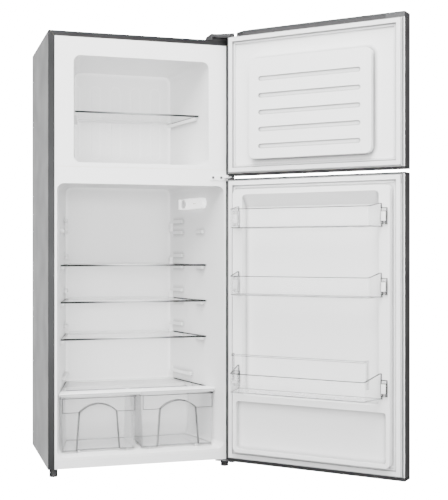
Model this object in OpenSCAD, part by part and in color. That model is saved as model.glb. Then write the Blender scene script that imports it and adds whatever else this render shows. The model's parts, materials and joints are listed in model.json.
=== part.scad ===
// Top freezer refrigerator: a freezer above a fridge, each with a door hinged on the right.
// Origin on the floor under the middle of the cabinet, +Z up, doors towards -Y.
// Most pieces are drawn in the cabinet frame: x from the middle, y back from the front
// frame, z up from the cabinet's lower edge. Door pieces use the door frame: u from the
// hinge edge, v outwards from the inner face, z as the cabinet frame.

/* [Cabinet] */
// Outer width of the cabinet
cab_w = 652; // [630:1:720]
// Outer depth of the cabinet, without doors and condenser
cab_d = 482; // [470:1:560]
// Height of the cabinet from its lower edge
cab_h = 1490; // [1470:1:1600]
// Height of the cabinet's lower edge above the floor
foot_h = 28; // [26:1:36]
// Thickness of the steel sheet
sheet_t = 1; // [0.8:0.1:1.4]
// Width of the folded front edge of the steel shell
flange_w = 22; // [18:1:26]
// Thickness of the plastic liners
liner_t = 2; // [1.6:0.1:2.6]
// Gap between pieces that are fixed to each other
fit = 0.3; // [0.2:0.1:0.5]

/* [Fridge space] */
// Side wall of the fridge space at its front edge
fridge_side = 30; // [28:1:40]
// Side wall of the fridge space at its back
fridge_rear_side = 121; // [110:1:130]
// Height of the fridge opening's lower edge
fridge_z = 38; // [36:1:46]
// Height of the fridge opening
fridge_open_h = 934; // [915:1:950]
// Thickness of the wall behind the fridge space
fridge_back = 52; // [44:1:60]
// How much the ceiling climbs towards the back
fridge_rise = 13; // [0:1:16]
// Corner radius of both openings
opening_r = 24; // [14:1:32]

/* [Freezer space] */
// Side wall of the freezer space at its front edge
freezer_side = 86; // [70:1:92]
// Side wall of the freezer space at its back
freezer_rear_side = 142; // [125:1:150]
// Wall between the two openings
mullion_h = 72; // [66:1:84]
// Thickness of the top wall
freezer_top = 80; // [60:1:90]
// Thickness of the wall behind the freezer space
freezer_back = 137; // [120:1:150]
// Distance between the ribs on the freezer's back wall
freezer_rib_pitch = 77; // [66:1:84]
// Width of each of those ribs
freezer_rib_w = 32; // [20:1:40]

/* [Machine compartment] */
// Depth of the space for the compressor
comp_d = 170; // [166:1:180]
// Height of the space for the compressor
comp_h = 200; // [196:1:210]
// Wall in front of that space
hump_wall = 36; // [32:1:44]
// Wall above that space
hump_top = 40; // [36:1:46]
// Diameter of the compressor's shell
pot_d = 140; // [120:1:144]
// Height of the compressor's shell
pot_h = 138; // [120:1:140]
// Diameter of the rear rollers
roller_d = 36; // [30:1:40]
// Diameter of the rear rollers' axles
axle_d = 6; // [5:1:8]

/* [Condenser] */
// Diameter of the condenser tube
tube_d = 5; // [4:0.5:6]
// Distance between two passes of the tube
pass_pitch = 56; // [48:1:64]
// Number of passes of the tube
pass_count = 19; // [12:1:19]
// Diameter of the wires
wire_d = 1.6; // [1.2:0.1:2]
// Distance between two wires on one face
wire_pitch = 18; // [14:1:30]
// Distance from the back panel to the tube's middle
condenser_gap = 22; // [18:1:30]

/* [Shelves] */
// Height of the lowest shelf support
shelf_z = 425; // [415:1:430]
// Distance from one shelf support to the next
shelf_pitch = 131; // [120:1:131]
// Thickness of the glass shelves
glass_t = 5; // [4:0.5:6]
// Distance from the front frame to the shelves' front edges
shelf_y = 126; // [120:1:160]
// Depth of the shelves' supports, out from the side walls
boss_d = 12; // [9:1:14]
// Height of the glass over the crisper drawers
cover_z = 242; // [241:1:246]
// Height of the freezer shelf
freezer_shelf_z = 1226; // [1200:1:1260]

/* [Drawers and bins] */
// Wall thickness of the clear drawers and bins
clear_t = 2.4; // [2:0.1:3]
// Distance from the front frame to the drawers' front faces
drawer_y = 60; // [52:1:70]
// Height of a crisper drawer
drawer_h = 182; // [170:1:183]
// Gap between a crisper drawer and the step behind it
drawer_gap = 8; // [6:1:20]
// Height of the upper bin's floor
upper_bin_z = 818; // [780:1:840]
// Height of the middle bin's floor
middle_bin_z = 591; // [580:1:620]
// Height of the bottle bin's floor
bottle_bin_z = 264; // [262:1:275]
// Height of the two small bins
bin_h = 65; // [55:1:75]
// Reach of the small bins from the door's inner face
bin_reach = 124; // [110:1:130]
// Height of the bottle bin's front
bottle_h = 64; // [55:1:75]
// Reach of the bottle bin from the door's inner face
bottle_reach = 140; // [128:1:144]
// Height of the guard rail above the bottle bin's floor
guard_h = 130; // [110:1:140]

/* [Doors] */
// How far both doors stand open, in degrees
door_open = 133.5; // [120:0.5:138]
// Thickness of a door
door_t = 55; // [50:1:62]
// Gap between the cabinet and a closed door, filled by the gasket
door_gap = 15; // [13:1:18]
// Gap between the two doors
between_doors = 12; // [11:1:16]
// Height of the middle of that gap above the fridge opening
split_h = 30; // [26:1:36]
// Height of the freezer door's top above the cabinet
door_over = 23.5; // [20:0.5:28]
// Depth of the door's lower edge below the cabinet's edge
door_under = 1; // [0:0.5:2]
// Thickness of the cap on top of the freezer door
top_cap_h = 19; // [16:1:22]
// Thickness of the cap under the fridge door
low_cap_h = 12.5; // [10:0.5:16]
// Thickness of the two caps at the gap between the doors
thin_cap_h = 5.5; // [5:0.5:8]
// Height of the raised panel inside the freezer door
plateau_h = 30; // [20:1:34]
// Height of the raised ring inside the fridge door
dyke_h = 35; // [28:1:38]

/* [Hinges] */
// Diameter of the hinge pins
pin_d = 8; // [6:0.5:10]
// Distance from the door's hinge edge to the pins' axis
pin_u = 9; // [9:0.5:12]
// Distance from the door's inner face to the pins' axis
pin_v = 16; // [14:1:20]
// Radial clearance of the pins and axles
run_fit = 0.05; // [0.02:0.01:0.1]
// Thickness of the middle hinge's arm
arm_t = 4; // [3:0.5:5]
// Thickness of the top and bottom hinge plates
plate_t = 3; // [2.5:0.5:4]

/* [Hidden] */
$fn = 64;

steel = "#8a8b8d";
dark = "#3c3d3f";
white = "#f2f2f2";
clear = [0.92, 0.95, 0.96, 0.45];
black = "#202020";
foam_yellow = "#e8dca8";
bright = "#c8cacc";
over = 1;            // how far a cut runs past a face

// Cabinet
half_w = cab_w / 2;
in_half = half_w - flange_w;                 // inner edge of the front frame
base_h = fridge_z - 10;                      // height of the light strip at the bottom
fridge_half = half_w - fridge_side;
fridge_rear_half = half_w - fridge_rear_side;
fridge_depth = cab_d - fridge_back;
fridge_top_z = fridge_z + fridge_open_h;
fridge_floor_rise = 8;
freezer_half = half_w - freezer_side;
freezer_rear_half = half_w - freezer_rear_side;
freezer_depth = cab_d - freezer_back;
freezer_z = fridge_top_z + mullion_h;
freezer_top_z = cab_h - freezer_top;
seam_z = fridge_top_z + 57;                  // joint between the two liners' front faces
fridge_angle = atan((fridge_half - fridge_rear_half) / fridge_depth);
freezer_angle = atan((freezer_half - freezer_rear_half) / freezer_depth);
hump_y = cab_d - comp_d - hump_wall;
hump_z = comp_h + hump_top;
back_y = cab_d - sheet_t - fit - sheet_t;    // inner face of the back panel
rear_flange_w = 14;
shell_r = 3;                                 // bend radius of the shell's top corners

// Doors
split_z = fridge_top_z + split_h;
freezer_door_z0 = split_z + between_doors / 2;
freezer_door_z1 = cab_h + door_over;
fridge_door_z0 = -door_under;
fridge_door_z1 = split_z - between_doors / 2;
freezer_pan_z0 = freezer_door_z0 + thin_cap_h;
freezer_pan_z1 = freezer_door_z1 - top_cap_h;
fridge_pan_z0 = fridge_door_z0 + low_cap_h;
fridge_pan_z1 = fridge_door_z1 - thin_cap_h;
pin_x = half_w - pin_u;
pin_y = -door_gap - pin_v;
door_edge_r = 6;
gasket_edge = 9;                             // from the door's edge to the gasket
gasket_rise = 3;                             // from a cap to the gasket
gasket_w = 27;
gasket_base_t = 3;
bulb_w = 14;
bushing_d = pin_d + 4;
bushing_flange_d = pin_d + 7;
bushing_l = 14;
bushing_flange_t = between_doors / 2 - arm_t / 2 - fit;

// Fixed details of the cabinet
flange_top_w = 18;                           // width of the front frame's top
seam_w = 0.6;                                // joints between flat sheets
foam_gap = 0.4;                              // from the liners to the foam
in_top = cab_h - flange_top_w;               // lower edge of the front frame's top
panel_z0 = comp_h + sheet_t + fit;           // lower edge of the back panel
bead_count = 3;
bead_h = 0.4;
bead_end = 116;                              // from the cabinet's side to a bead's end
bead_l = cab_w - 2 * bead_end;
bead_w = 12;
screw_d = 5;
screw_fit = 0.1;
screw_head_d = 9;
screw_head_h = 2.4;
screw_l = 9;
foot_x = half_w - 21;
foot_y = 22;
foot_d = 27;
stud_d = 8;
stud_top = 16;                               // how far the feet's studs reach above the edge
nut_d = 15;
nut_h = 7;
roller_x = half_w - 34;
roller_y = cab_d - comp_d + 88;
roller_w = 16;
plate_w = 300;                               // width of the evaporator plates
evap_t = 1.6;
channel_d = 6;
channel_pitch = 30;
freezer_plate_h = 260;
fridge_plate_h = 300;

// Supports on the liners' walls, measured along the wall
boss_x1 = fridge_depth - 3;
boss_x0 = boss_x1 - 108;
cover_boss_x0 = boss_x1 - 183;
boss_r = 27;
slot_h = 31;
wedge_x0 = 150;
wedge_l = 66;
wedge_h = 11.5;
ledge_x0 = 101;
freezer_rib_shift = -28.5;
freezer_rib_d = 2.5;

// Machine compartment
comp_slope = 46;                             // size of the compartment's sloping corner
comp_x = 90;
comp_y = cab_d - 84;
tray_z = 12;
tray_t = 1.5;
tray_lip = 9;
mount_h = 10;
mount_dx = 80;
mount_dy = 46;
mount_neck_d = 12;
mount_bolt_d = 6;
dome_r = 84;
stub_z = 34;
stub_l = 18;
drip_h = 18;
drain_d = 13;
drain_bore = 9;
drain_flange_d = 20;
gland_x = -150;
gland_z = 70;
gland_d = 16;
gland_l = 16;
cord_bore = 7.4;
drier_x = -120;
drier_z = 50;
drier_l = 72;

// Condenser
cond_y = back_y + sheet_t + condenser_gap;
cond_z0 = 262;
cond_half = half_w - 56;
wire_over = 24;
bend_r = 12;                                 // bend radius of the tubes at the compressor
bend_steps = 4;
tube_sides = 12;

// Inside pieces
shelf_y1 = fridge_depth - 25;
shelf_gap = 2.4;
rail_d = 18;
rail_h = 11;
freezer_shelf_y = 79;
freezer_shelf_y1 = freezer_depth - 12;
trim_y1 = 122;
trim_h = 13;
trim_y0 = drawer_y;                          // the trim's front, flush with the drawers'
band_h = 49;                                 // height of the upper band of a drawer's front
band_out = 2;
runner_z = 47;                               // height of the drawers' floors
drawer_draft = 8;
crisper_x0 = 7;
crisper_x1 = fridge_half - 15;
drawer_d = hump_y - drawer_gap - drawer_y;
arch_w = 150;
arch_r = 87;
arch_d = 12;
lamp_x0 = 134;
lamp_l = 194;
lamp_h = 37;
lamp_z = 900;
lamp_d = 17;
dial_x = 281;
dial_d = 34;
dial_shaft_d = 6;
bulb_d = 11;

// Door details
pan_return = 12;
notch_z = freezer_pan_z1 + 1.5;              // floor of the top cap's hinge notch
notch_w = 83;
blank_w = 66;
grip_w = 150;
grip_u0 = cab_w - 60 - grip_w;
grip_v = 24;
grip_d = 26;
grip_wall = 2;
plateau_u0 = 100;
plateau_u1 = cab_w - plateau_u0 - 4;
groove_count = 5;
groove_pitch = 58;
groove_end = 37;                             // from the raised panel's side to a groove's end
groove_h = 16;
groove_d = 4;
dyke_u0 = 39;
window_u0 = 76;
window_z0 = 243;
ledge_h = 22;                                // height of the bar between the two windows
low_side = 13;                               // from the raised ring's side to the lower window
low_bar = 12.5;                              // height of the bar under the lower window
dyke_z0 = fridge_pan_z0 + gasket_rise + gasket_w + 1;
lower_window_v = 18;
lug_u = half_w - 56;                         // from the door's middle to a lug's middle
lug_w = 9;
lug_l = 10;
lug_h = 30;
lug_z = 20;
hook_t = 7;
bin_half = half_w - 64;                      // half a bin's width at its back
bin_taper = 11;                              // how much narrower a small bin's front is
bottle_taper = 19;
bin_v0 = dyke_h + 1.5;
bin_r = 12;
rib_pitch = 23.6;
rib_count = 9;
guard_t = 3.2;
mid_plate_x = 12;
mid_plate_w = 71;
mid_plate_t = 2.5;
top_side = 8;                                // from the cabinet's side to the top hinge
top_w = 66;
cover_h = 21;                                // the cover over the top hinge
cover_t = 2;
cover_side = 4;
cover_out = 8;
cover_w = 76;
cover_d = 72;

// ---------- shared shapes ----------

// Cabinet frame
module at_cabinet() translate([0, -cab_d / 2, foot_h]) children();

// Door frame: x is u, y is v; the doors stand open round the pins
module at_door()
    at_cabinet()
        translate([pin_x, pin_y, 0]) rotate([0, 0, door_open]) translate([-pin_x, -pin_y, 0])
            translate([half_w, -door_gap, 0]) rotate([0, 0, 180]) children();

// Along a side wall: x back along the wall, y into the space, z up; drawn on the right
module on_wall(half, angle) translate([half, 0, 0]) rotate([0, 0, 90 + angle]) children();

module both_walls(half, angle) {
    on_wall(half, angle) children();
    mirror([1, 0, 0]) on_wall(half, angle) children();
}

// Rounded rectangle centred on x, standing on y = 0
module rounded(w, h, r) {
    translate([-w / 2, r]) square([w, h - 2 * r]);
    translate([-w / 2 + r, 0]) square([w - 2 * r, h]);
    for (x = [-w / 2 + r, w / 2 - r]) for (y = [r, h - r]) translate([x, y]) circle(r);
}

// Rectangle with rounded corners, from corner [x0, z0] to corner [x1, z1]
module round_rect(x0, z0, x1, z1, r)
    translate([(x0 + x1) / 2, z0]) rounded(x1 - x0, z1 - z0, r);

// Upright plate drawn in x and z, from y = y0 back to y = y1
module upright(y0, y1) translate([0, y1, 0]) rotate([90, 0, 0]) linear_extrude(y1 - y0) children();

// Profile drawn in y and z, from x = x0 to x = x1
module across(x0, x1)
    translate([x0, 0, 0]) rotate([90, 0, 90]) linear_extrude(x1 - x0) children();

// Flat bar with round ends, centred
module stadium(l, h) {
    square([l - h, h], center = true);
    for (s = [-1, 1]) translate([s * (l - h) / 2, 0]) circle(d = h);
}

// One end of a tapered space: a thin rounded slab at depth y
module slab(y, half, z0, z1, r)
    translate([0, y, z0]) rotate([90, 0, 0]) linear_extrude(0.01) rounded(2 * half, z1 - z0, r, $fn = 32);

// The fridge space, grown by g on every wall but the open front
module fridge_space(g) difference() {
    hull() {
        slab(-over, fridge_half + g, fridge_z - g, fridge_top_z + g, opening_r + g);
        slab(fridge_depth + g, fridge_rear_half + g, fridge_z + fridge_floor_rise - g,
            fridge_top_z + fridge_rise + g, opening_r + g);
    }
    translate([-cab_w, hump_y + g, -over]) cube([2 * cab_w, cab_d, hump_z - g + over]);
}

// The freezer space, grown by g on every wall but the open front
module freezer_space(g) hull() {
    slab(-over, freezer_half + g, freezer_z - g, freezer_top_z + g, opening_r + g);
    slab(freezer_depth + g, freezer_rear_half + g, freezer_z - g, freezer_top_z + g, opening_r + g);
}

// The machine compartment's outline in y and z, grown forwards and upwards by g
module comp_outline(g) polygon([
    [cab_d - comp_d - g, -over], [cab_d - comp_d - g, comp_h - comp_slope + g / 2],
    [cab_d - comp_d + comp_slope - g / 2, comp_h + g], [cab_d + over, comp_h + g],
    [cab_d + over, -over]]);

// ---------- cabinet ----------

// Fastenings: one screw is drawn head up, its shank down from z = 0
module screw() {
    cylinder(d = screw_head_d, h = screw_head_h);
    translate([0, 0, -screw_l]) cylinder(d = screw_d, h = screw_l);
}

module screw_hole() translate([0, 0, -screw_l - fit])
    cylinder(d = screw_d + 2 * screw_fit, h = screw_l + 40);

// Places of the screws: top hinge, middle hinge, bottom hinge, back panel
module at_top_screws()
    for (p = [[18, 16], [18, 44], [56, 30]])
        translate([half_w - p[0], p[1], cab_h + plate_t]) children();

module at_middle_screws()
    for (x = [mid_plate_w - 12, mid_plate_w - 42])
        translate([half_w - mid_plate_x - x, -mid_plate_t, split_z]) rotate([90, 0, 0]) children();

module at_bottom_screws()
    for (y = [52, 70])
        translate([half_w - 30, y, -plate_t]) rotate([180, 0, 0]) children();

module at_panel_screws()
    for (s = [-1, 1]) for (k = [0 : 3])
        translate([s * (half_w - 8), cab_d, panel_z0 + 30 + k * (cab_h - panel_z0 - 60) / 3])
            rotate([-90, 0, 0]) children();

module screws() color(bright) at_cabinet() {
    at_top_screws() screw();
    at_middle_screws() screw();
    at_bottom_screws() screw();
    at_panel_screws() screw();
}

module shell_outline(inset) {
    r = shell_r - inset;
    w = 2 * (half_w - inset);
    h = cab_h - inset;
    low = inset > 0 ? over : 0;
    translate([-w / 2, -low]) square([w, h - r + low]);
    translate([-w / 2 + r, -low]) square([w - 2 * r, h + low]);
    for (s = [-1, 1]) translate([s * (w / 2 - r), h - r]) circle(r);
}

module cabinet_shell() color(steel) at_cabinet() difference() {
    union() {
        // sides and top in one bent sheet
        upright(0, cab_d) difference() {
            shell_outline(0);
            shell_outline(sheet_t);
        }
        // front frame
        upright(0, sheet_t) difference() {
            shell_outline(0);
            translate([-in_half, -over]) square([2 * in_half, in_top + over]);
        }
        // rear frame
        upright(cab_d - sheet_t, cab_d) difference() {
            shell_outline(0);
            translate([-half_w + rear_flange_w, -over])
                square([cab_w - 2 * rear_flange_w, cab_h - rear_flange_w + over]);
        }
    }
    // mitre seams of the front frame
    for (s = [-1, 1])
        translate([s * in_half, -over, in_top])
            rotate([0, s * atan(flange_w / flange_top_w), 0])
                translate([-seam_w / 2, 0, 0.5])
                    cube([seam_w, sheet_t + over, norm([flange_w, flange_top_w]) - 2]);
    at_top_screws() screw_hole();
    at_panel_screws() screw_hole();
}

module back_panel() color(bright) at_cabinet() difference() {
    z1 = cab_h - sheet_t - fit;
    union() {
        upright(back_y, back_y + sheet_t) difference() {
            shell_outline(sheet_t + fit);
            translate([-cab_w, -cab_h]) square([2 * cab_w, cab_h + panel_z0]);
        }
        // pressed stiffening beads
        for (k = [1 : bead_count])
            translate([0, 0, panel_z0 + k * (z1 - panel_z0) / (bead_count + 1)])
                upright(back_y, back_y + sheet_t + bead_h) stadium(bead_l, bead_w);
    }
    at_panel_screws() screw_hole();
}

module base_plate() color(steel) at_cabinet() difference() {
    w = cab_w - 2 * (sheet_t + fit);
    union() {
        translate([-w / 2, sheet_t + fit, 0]) cube([w, cab_d - comp_d - sheet_t - fit, sheet_t]);
        // light strip folded up at the front
        translate([-in_half + fit, 0, 0]) cube([2 * (in_half - fit), sheet_t, base_h - fit]);
        translate([-in_half + fit, 0, 0]) cube([2 * (in_half - fit), sheet_t + 2 * fit, sheet_t]);
        // welded nuts for the levelling feet
        for (s = [-1, 1])
            translate([s * foot_x, foot_y, sheet_t]) cylinder(d = nut_d, h = nut_h, $fn = 6);
    }
    for (s = [-1, 1])
        translate([s * foot_x, foot_y, -over])
            cylinder(d = stud_d + 2 * run_fit, h = nut_h + 2 * over + sheet_t);
    at_bottom_screws() screw_hole();
}

module compartment_panel() color(bright) at_cabinet() difference() {
    w = half_w - sheet_t - fit;
    across(-w, w) difference() {
        intersection() {
            comp_outline(sheet_t);
            translate([0, sheet_t + fit]) square([cab_d - sheet_t - fit, cab_h]);
        }
        comp_outline(0);
    }
    at_drain() cylinder(d = drain_d + 2 * fit, h = 40, center = true);
    at_gland() cylinder(d = gland_d + 2 * fit, h = 40, center = true);
}

module cabinet_foam() color(foam_yellow) at_cabinet() difference() {
    x = half_w - sheet_t - fit;
    z1 = cab_h - sheet_t - fit;
    upright(liner_t + fit, back_y - fit)
        polygon([[-x, sheet_t + fit], [x, sheet_t + fit], [x, z1 - shell_r], [x - shell_r, z1],
            [-x + shell_r, z1], [-x, z1 - shell_r]]);
    fridge_space(liner_t + foam_gap);
    freezer_space(liner_t + foam_gap);
    across(-half_w, half_w) comp_outline(sheet_t + fit);
    at_top_screws() screw_hole();
    at_middle_screws() screw_hole();
    at_bottom_screws() screw_hole();
    at_panel_screws() screw_hole();
    for (s = [-1, 1])
        translate([s * foot_x, foot_y, 0]) cylinder(d = nut_d + 2, h = stud_top + 2);
    at_drain() translate([0, 0, -over]) cylinder(d = drain_flange_d + 2 * fit, h = hump_top + 2);
    at_gland() cylinder(d = gland_d + 2 * fit, h = 40, center = true);
    // pockets of the two evaporator plates
    freezer_plate(fit);
    fridge_plate(fit);
}

// Evaporator plates lie behind the liners' back walls, grown by g for their pockets
module freezer_plate(g) {
    y = freezer_depth + liner_t + fit;
    translate([-plate_w / 2 - g, y - 2 * g, freezer_z + 50 - g])
        cube([plate_w + 2 * g, evap_t + channel_d / 2 + 3 * g, freezer_plate_h + 2 * g]);
}

module fridge_plate(g) {
    y = fridge_depth + liner_t + fit;
    translate([-plate_w / 2 - g, y - 2 * g, hump_z + 160 - g])
        cube([plate_w + 2 * g, evap_t + channel_d / 2 + 3 * g, fridge_plate_h + 2 * g]);
}

// One roll-bonded plate: a thin sheet with a raised serpentine channel on its back
module roll_bond(h) {
    runs = floor((h - 40) / channel_pitch);
    translate([-plate_w / 2, 0, 0]) cube([plate_w, evap_t, h]);
    intersection() {
        translate([-plate_w / 2, 0, 0]) cube([plate_w, evap_t + channel_d / 2, h]);
        for (k = [0 : runs]) {
            z = 20 + k * channel_pitch;
            side = k % 2 == 0 ? 1 : -1;
            translate([0, evap_t, z]) rotate([0, 90, 0])
                cylinder(d = channel_d, h = plate_w - 60, center = true);
            if (k < runs)
                translate([side * (plate_w / 2 - 30), evap_t, z + channel_pitch / 2])
                    rotate([90, 0, 0]) rotate([0, 0, side > 0 ? -90 : 90])
                        rotate_extrude(angle = 180) translate([channel_pitch / 2, 0]) circle(d = channel_d);
        }
    }
}

module evaporator_plates() color(bright) at_cabinet() {
    translate([0, freezer_depth + liner_t + fit, freezer_z + 50]) roll_bond(freezer_plate_h);
    translate([0, fridge_depth + liner_t + fit, hump_z + 160]) roll_bond(fridge_plate_h);
}

// ---------- liners ----------

// A rear shelf support: an open C with a round back, seen along the wall; z0 is the shelf
module boss_outline(x0, z0) {
    mid = z0 + slot_h / 2;
    difference() {
        union() {
            translate([x0, mid - boss_r]) square([boss_x1 - boss_r - x0, 2 * boss_r]);
            translate([boss_x1 - boss_r, mid]) circle(boss_r);
        }
        translate([x0 - over, z0]) square([boss_x1 - 8 - x0 + over, slot_h]);
    }
}

// Shape drawn along a wall and up, standing out from the wall by d
module out_of_wall(d) translate([0, d, 0]) rotate([90, 0, 0]) linear_extrude(d + liner_t / 2) children();

module fridge_supports() both_walls(fridge_half, fridge_angle) {
    for (z = [cover_z, for (k = [0 : 3]) shelf_z + k * shelf_pitch]) {
        out_of_wall(boss_d) boss_outline(z == cover_z ? cover_boss_x0 : boss_x0, z);
        // wedge under the shelf's front
        translate([0, 0, z - wedge_h]) linear_extrude(wedge_h)
            polygon([[wedge_x0, -liner_t / 2], [wedge_x0, boss_d], [wedge_x0 + 18, boss_d],
                [wedge_x0 + wedge_l, 3], [wedge_x0 + wedge_l, -liner_t / 2]]);
    }
}

module fridge_liner() color(white) at_cabinet() difference() {
    union() {
        fridge_space(liner_t);
        upright(0, liner_t) translate([-in_half + fit, base_h])
            square([2 * (in_half - fit), seam_z - base_h]);
    }
    difference() {
        fridge_space(0);
        fridge_supports();
        // runners under the drawers
        for (x = [40, crisper_x1 - 70]) for (s = [-1, 1])
            translate([s * x - 3, drawer_y + 8, fridge_z - liner_t])
                cube([6, hump_y - drawer_y, runner_z - fit - fridge_z + liner_t]);
    }
    translate([-cab_w, -2 * over, -over]) cube([2 * cab_w, 2 * over, 2 * cab_h]);
    at_middle_screws() screw_hole();
    at_drain() cylinder(d = drain_bore, h = hump_top + 20);
}

module freezer_liner() color(white) at_cabinet() difference() {
    union() {
        freezer_space(liner_t);
        upright(0, liner_t) translate([-in_half + fit, seam_z + seam_w])
            square([2 * (in_half - fit), in_top - fit - seam_z - seam_w]);
    }
    difference() {
        freezer_space(0);
        // ledges under the shelf
        both_walls(freezer_half, freezer_angle)
            out_of_wall(boss_d) round_rect(ledge_x0, freezer_shelf_z - fit - wedge_h,
                freezer_depth * 1.1, freezer_shelf_z - fit, 3);
        // ribs on the back wall
        for (k = [-2 : 2])
            translate([freezer_rib_shift + k * freezer_rib_pitch, 0, 0])
                upright(freezer_depth - freezer_rib_d, freezer_depth + liner_t / 2)
                    round_rect(-freezer_rib_w / 2, freezer_z + 46, freezer_rib_w / 2,
                        freezer_top_z - 50, freezer_rib_w / 2 - 0.1);
    }
    translate([-cab_w, -2 * over, -over]) cube([2 * cab_w, 2 * over, 2 * cab_h]);
}

// ---------- hinges and feet ----------

module pin_round() translate([pin_x, pin_y]) circle(pin_u);

module top_hinge() color(dark) at_cabinet() {
    z = notch_z + 1;
    x0 = half_w - top_side - top_w;
    difference() {
        translate([x0, 4, cab_h]) cube([top_w, 54, plate_t]);
        at_top_screws() screw_hole();
    }
    translate([x0, 2, cab_h]) cube([top_w, plate_t, z + plate_t - cab_h]);
    translate([0, 0, z]) linear_extrude(plate_t) {
        polygon([[x0, 3], [x0 + top_w, 3], [half_w, pin_y], [pin_x - pin_u, pin_y]]);
        pin_round();
    }
    translate([pin_x, pin_y, z - bushing_l + 2]) cylinder(d = pin_d, h = bushing_l);
}

module cover_plan(g)
    translate([half_w - cover_side - cover_w + g, -cover_out + g]) square([cover_w - 2 * g, cover_d - 2 * g]);

module nose_plan(g) {
    r = pin_u - 1;
    polygon([[half_w - cover_w + g, 0], [half_w - cover_side - g, 0], [pin_x + r - g, pin_y],
        [pin_x - r + g, pin_y]]);
    translate([pin_x, pin_y]) circle(r - g);
}

module hinge_cover() color(dark) at_cabinet() {
    z0 = notch_z + 1 + plate_t + fit;
    difference() {
        union() {
            translate([0, 0, cab_h]) linear_extrude(cover_h) cover_plan(0);
            translate([0, 0, z0]) linear_extrude(cab_h + cover_h - z0) nose_plan(0);
        }
        translate([0, 0, cab_h - over]) linear_extrude(cover_h - cover_t + over) {
            cover_plan(cover_t);
            nose_plan(cover_t);
        }
        // way out for the hinge arm
        translate([half_w - top_side - top_w - 1, -cover_out - 4, cab_h - over])
            cube([top_w + 2, cover_out + 10, z0 - cab_h + over]);
    }
}

module middle_hinge() color(white) at_cabinet() {
    difference() {
        translate([half_w - mid_plate_x - mid_plate_w, -mid_plate_t, split_z - 10])
            cube([mid_plate_w, mid_plate_t, 20]);
        at_middle_screws() screw_hole();
    }
    translate([0, 0, split_z - arm_t / 2]) linear_extrude(arm_t) {
        polygon([[half_w - 34, -1], [half_w - mid_plate_x, -1], [half_w, pin_y], [pin_x - pin_u, pin_y]]);
        pin_round();
    }
    translate([pin_x, pin_y, split_z - 16]) cylinder(d = pin_d, h = 32);
}

module bottom_hinge() color(steel) at_cabinet() {
    z = fridge_door_z0 - 2 - plate_t;
    difference() {
        translate([half_w - 60, 8, -plate_t]) cube([50, 72, plate_t]);
        translate([foot_x, foot_y, -plate_t - over]) cylinder(d = stud_d + 2, h = plate_t + 2 * over);
        at_bottom_screws() screw_hole();
    }
    translate([half_w - 60, 6, z]) cube([50, plate_t, -z]);
    translate([0, 0, z]) linear_extrude(plate_t) {
        polygon([[half_w - 60, 7], [half_w - 10, 7], [half_w, pin_y], [pin_x - pin_u, pin_y]]);
        pin_round();
    }
    translate([pin_x, pin_y, z]) cylinder(d = pin_d, h = plate_t + bushing_l);
}

module foot(s) color(black) at_cabinet() translate([s * foot_x, foot_y, -foot_h]) {
    cylinder(d1 = foot_d - 3, d2 = foot_d, h = 4);
    translate([0, 0, 4]) cylinder(d = foot_d, h = 7);
    translate([0, 0, 11]) cylinder(d1 = foot_d, d2 = foot_d - 6, h = 5);
    translate([0, 0, 16]) cylinder(d = stud_d, h = foot_h - 16 + stud_top);
}

module left_foot() foot(-1);
module right_foot() foot(1);

module at_roller(s) at_cabinet()
    translate([s * roller_x, roller_y, roller_d / 2 - foot_h]) rotate([0, 90, 0]) children();

module roller(s) color(black) at_roller(s) rotate_extrude() difference() {
    r = roller_d / 2;
    polygon([[axle_d / 2 + run_fit, -roller_w / 2], [r - 1.5, -roller_w / 2], [r, -roller_w / 2 + 1.5],
        [r, roller_w / 2 - 1.5], [r - 1.5, roller_w / 2], [axle_d / 2 + run_fit, roller_w / 2]]);
    translate([axle_d / 2 + 4, roller_w / 2 - 3]) square([r - axle_d / 2 - 8, 4]);
    translate([axle_d / 2 + 4, -roller_w / 2 - 1]) square([r - axle_d / 2 - 8, 4]);
}

module left_roller() roller(-1);
module right_roller() roller(1);

module roller_brackets() color(bright) at_cabinet() for (s = [-1, 1]) {
    z = roller_d / 2 - foot_h;
    gap = roller_w / 2 + 0.6;
    for (t = [-1, 1])
        translate([s * roller_x + t * (gap + 0.75) - 0.75, 0, 0]) across(0, 1.5) {
            translate([roller_y - 15, z]) square([30, tray_z - z]);
            translate([roller_y, z]) circle(7);
            translate([roller_y - 7, z - 2]) square([14, 4]);
        }
    translate([s * roller_x - gap - 1.5, roller_y - 15, tray_z - 1.5]) cube([2 * gap + 3, 30, 1.5]);
    translate([s * roller_x, roller_y, z]) rotate([0, 90, 0])
        cylinder(d = axle_d, h = 2 * gap + 7, center = true);
}

module compressor_tray() color(bright) at_cabinet() difference() {
    w = half_w - sheet_t - fit;
    y0 = cab_d - comp_d + 12;
    y1 = cab_d - 10;
    union() {
        across(-w, w) polygon([[y0, tray_z], [y1, tray_z], [y1, tray_z + tray_lip],
            [y1 - tray_t, tray_z + tray_lip], [y1 - tray_t, tray_z + tray_t], [y0 + tray_t, tray_z + tray_t],
            [y0 + tray_t, tray_z + tray_lip], [y0, tray_z + tray_lip]]);
        // ends turned up against the side sheets
        for (s = [-1, 1])
            translate([s > 0 ? w - tray_t : -w, y0, tray_z]) cube([tray_t, y1 - y0, 3 * tray_lip]);
    }
    at_mounts() translate([0, 0, -10]) cylinder(d = mount_bolt_d + 0.4, h = 20);
}

// ---------- machine compartment ----------

module at_compressor() translate([comp_x, comp_y, tray_z + tray_t + mount_h]) children();

// The compressor's four rubber mounts, from the tray's top
module at_mounts()
    for (sx = [-1, 1]) for (sy = [-1, 1])
        translate([comp_x + sx * mount_dx, comp_y + sy * mount_dy, tray_z + tray_t]) children();

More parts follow.
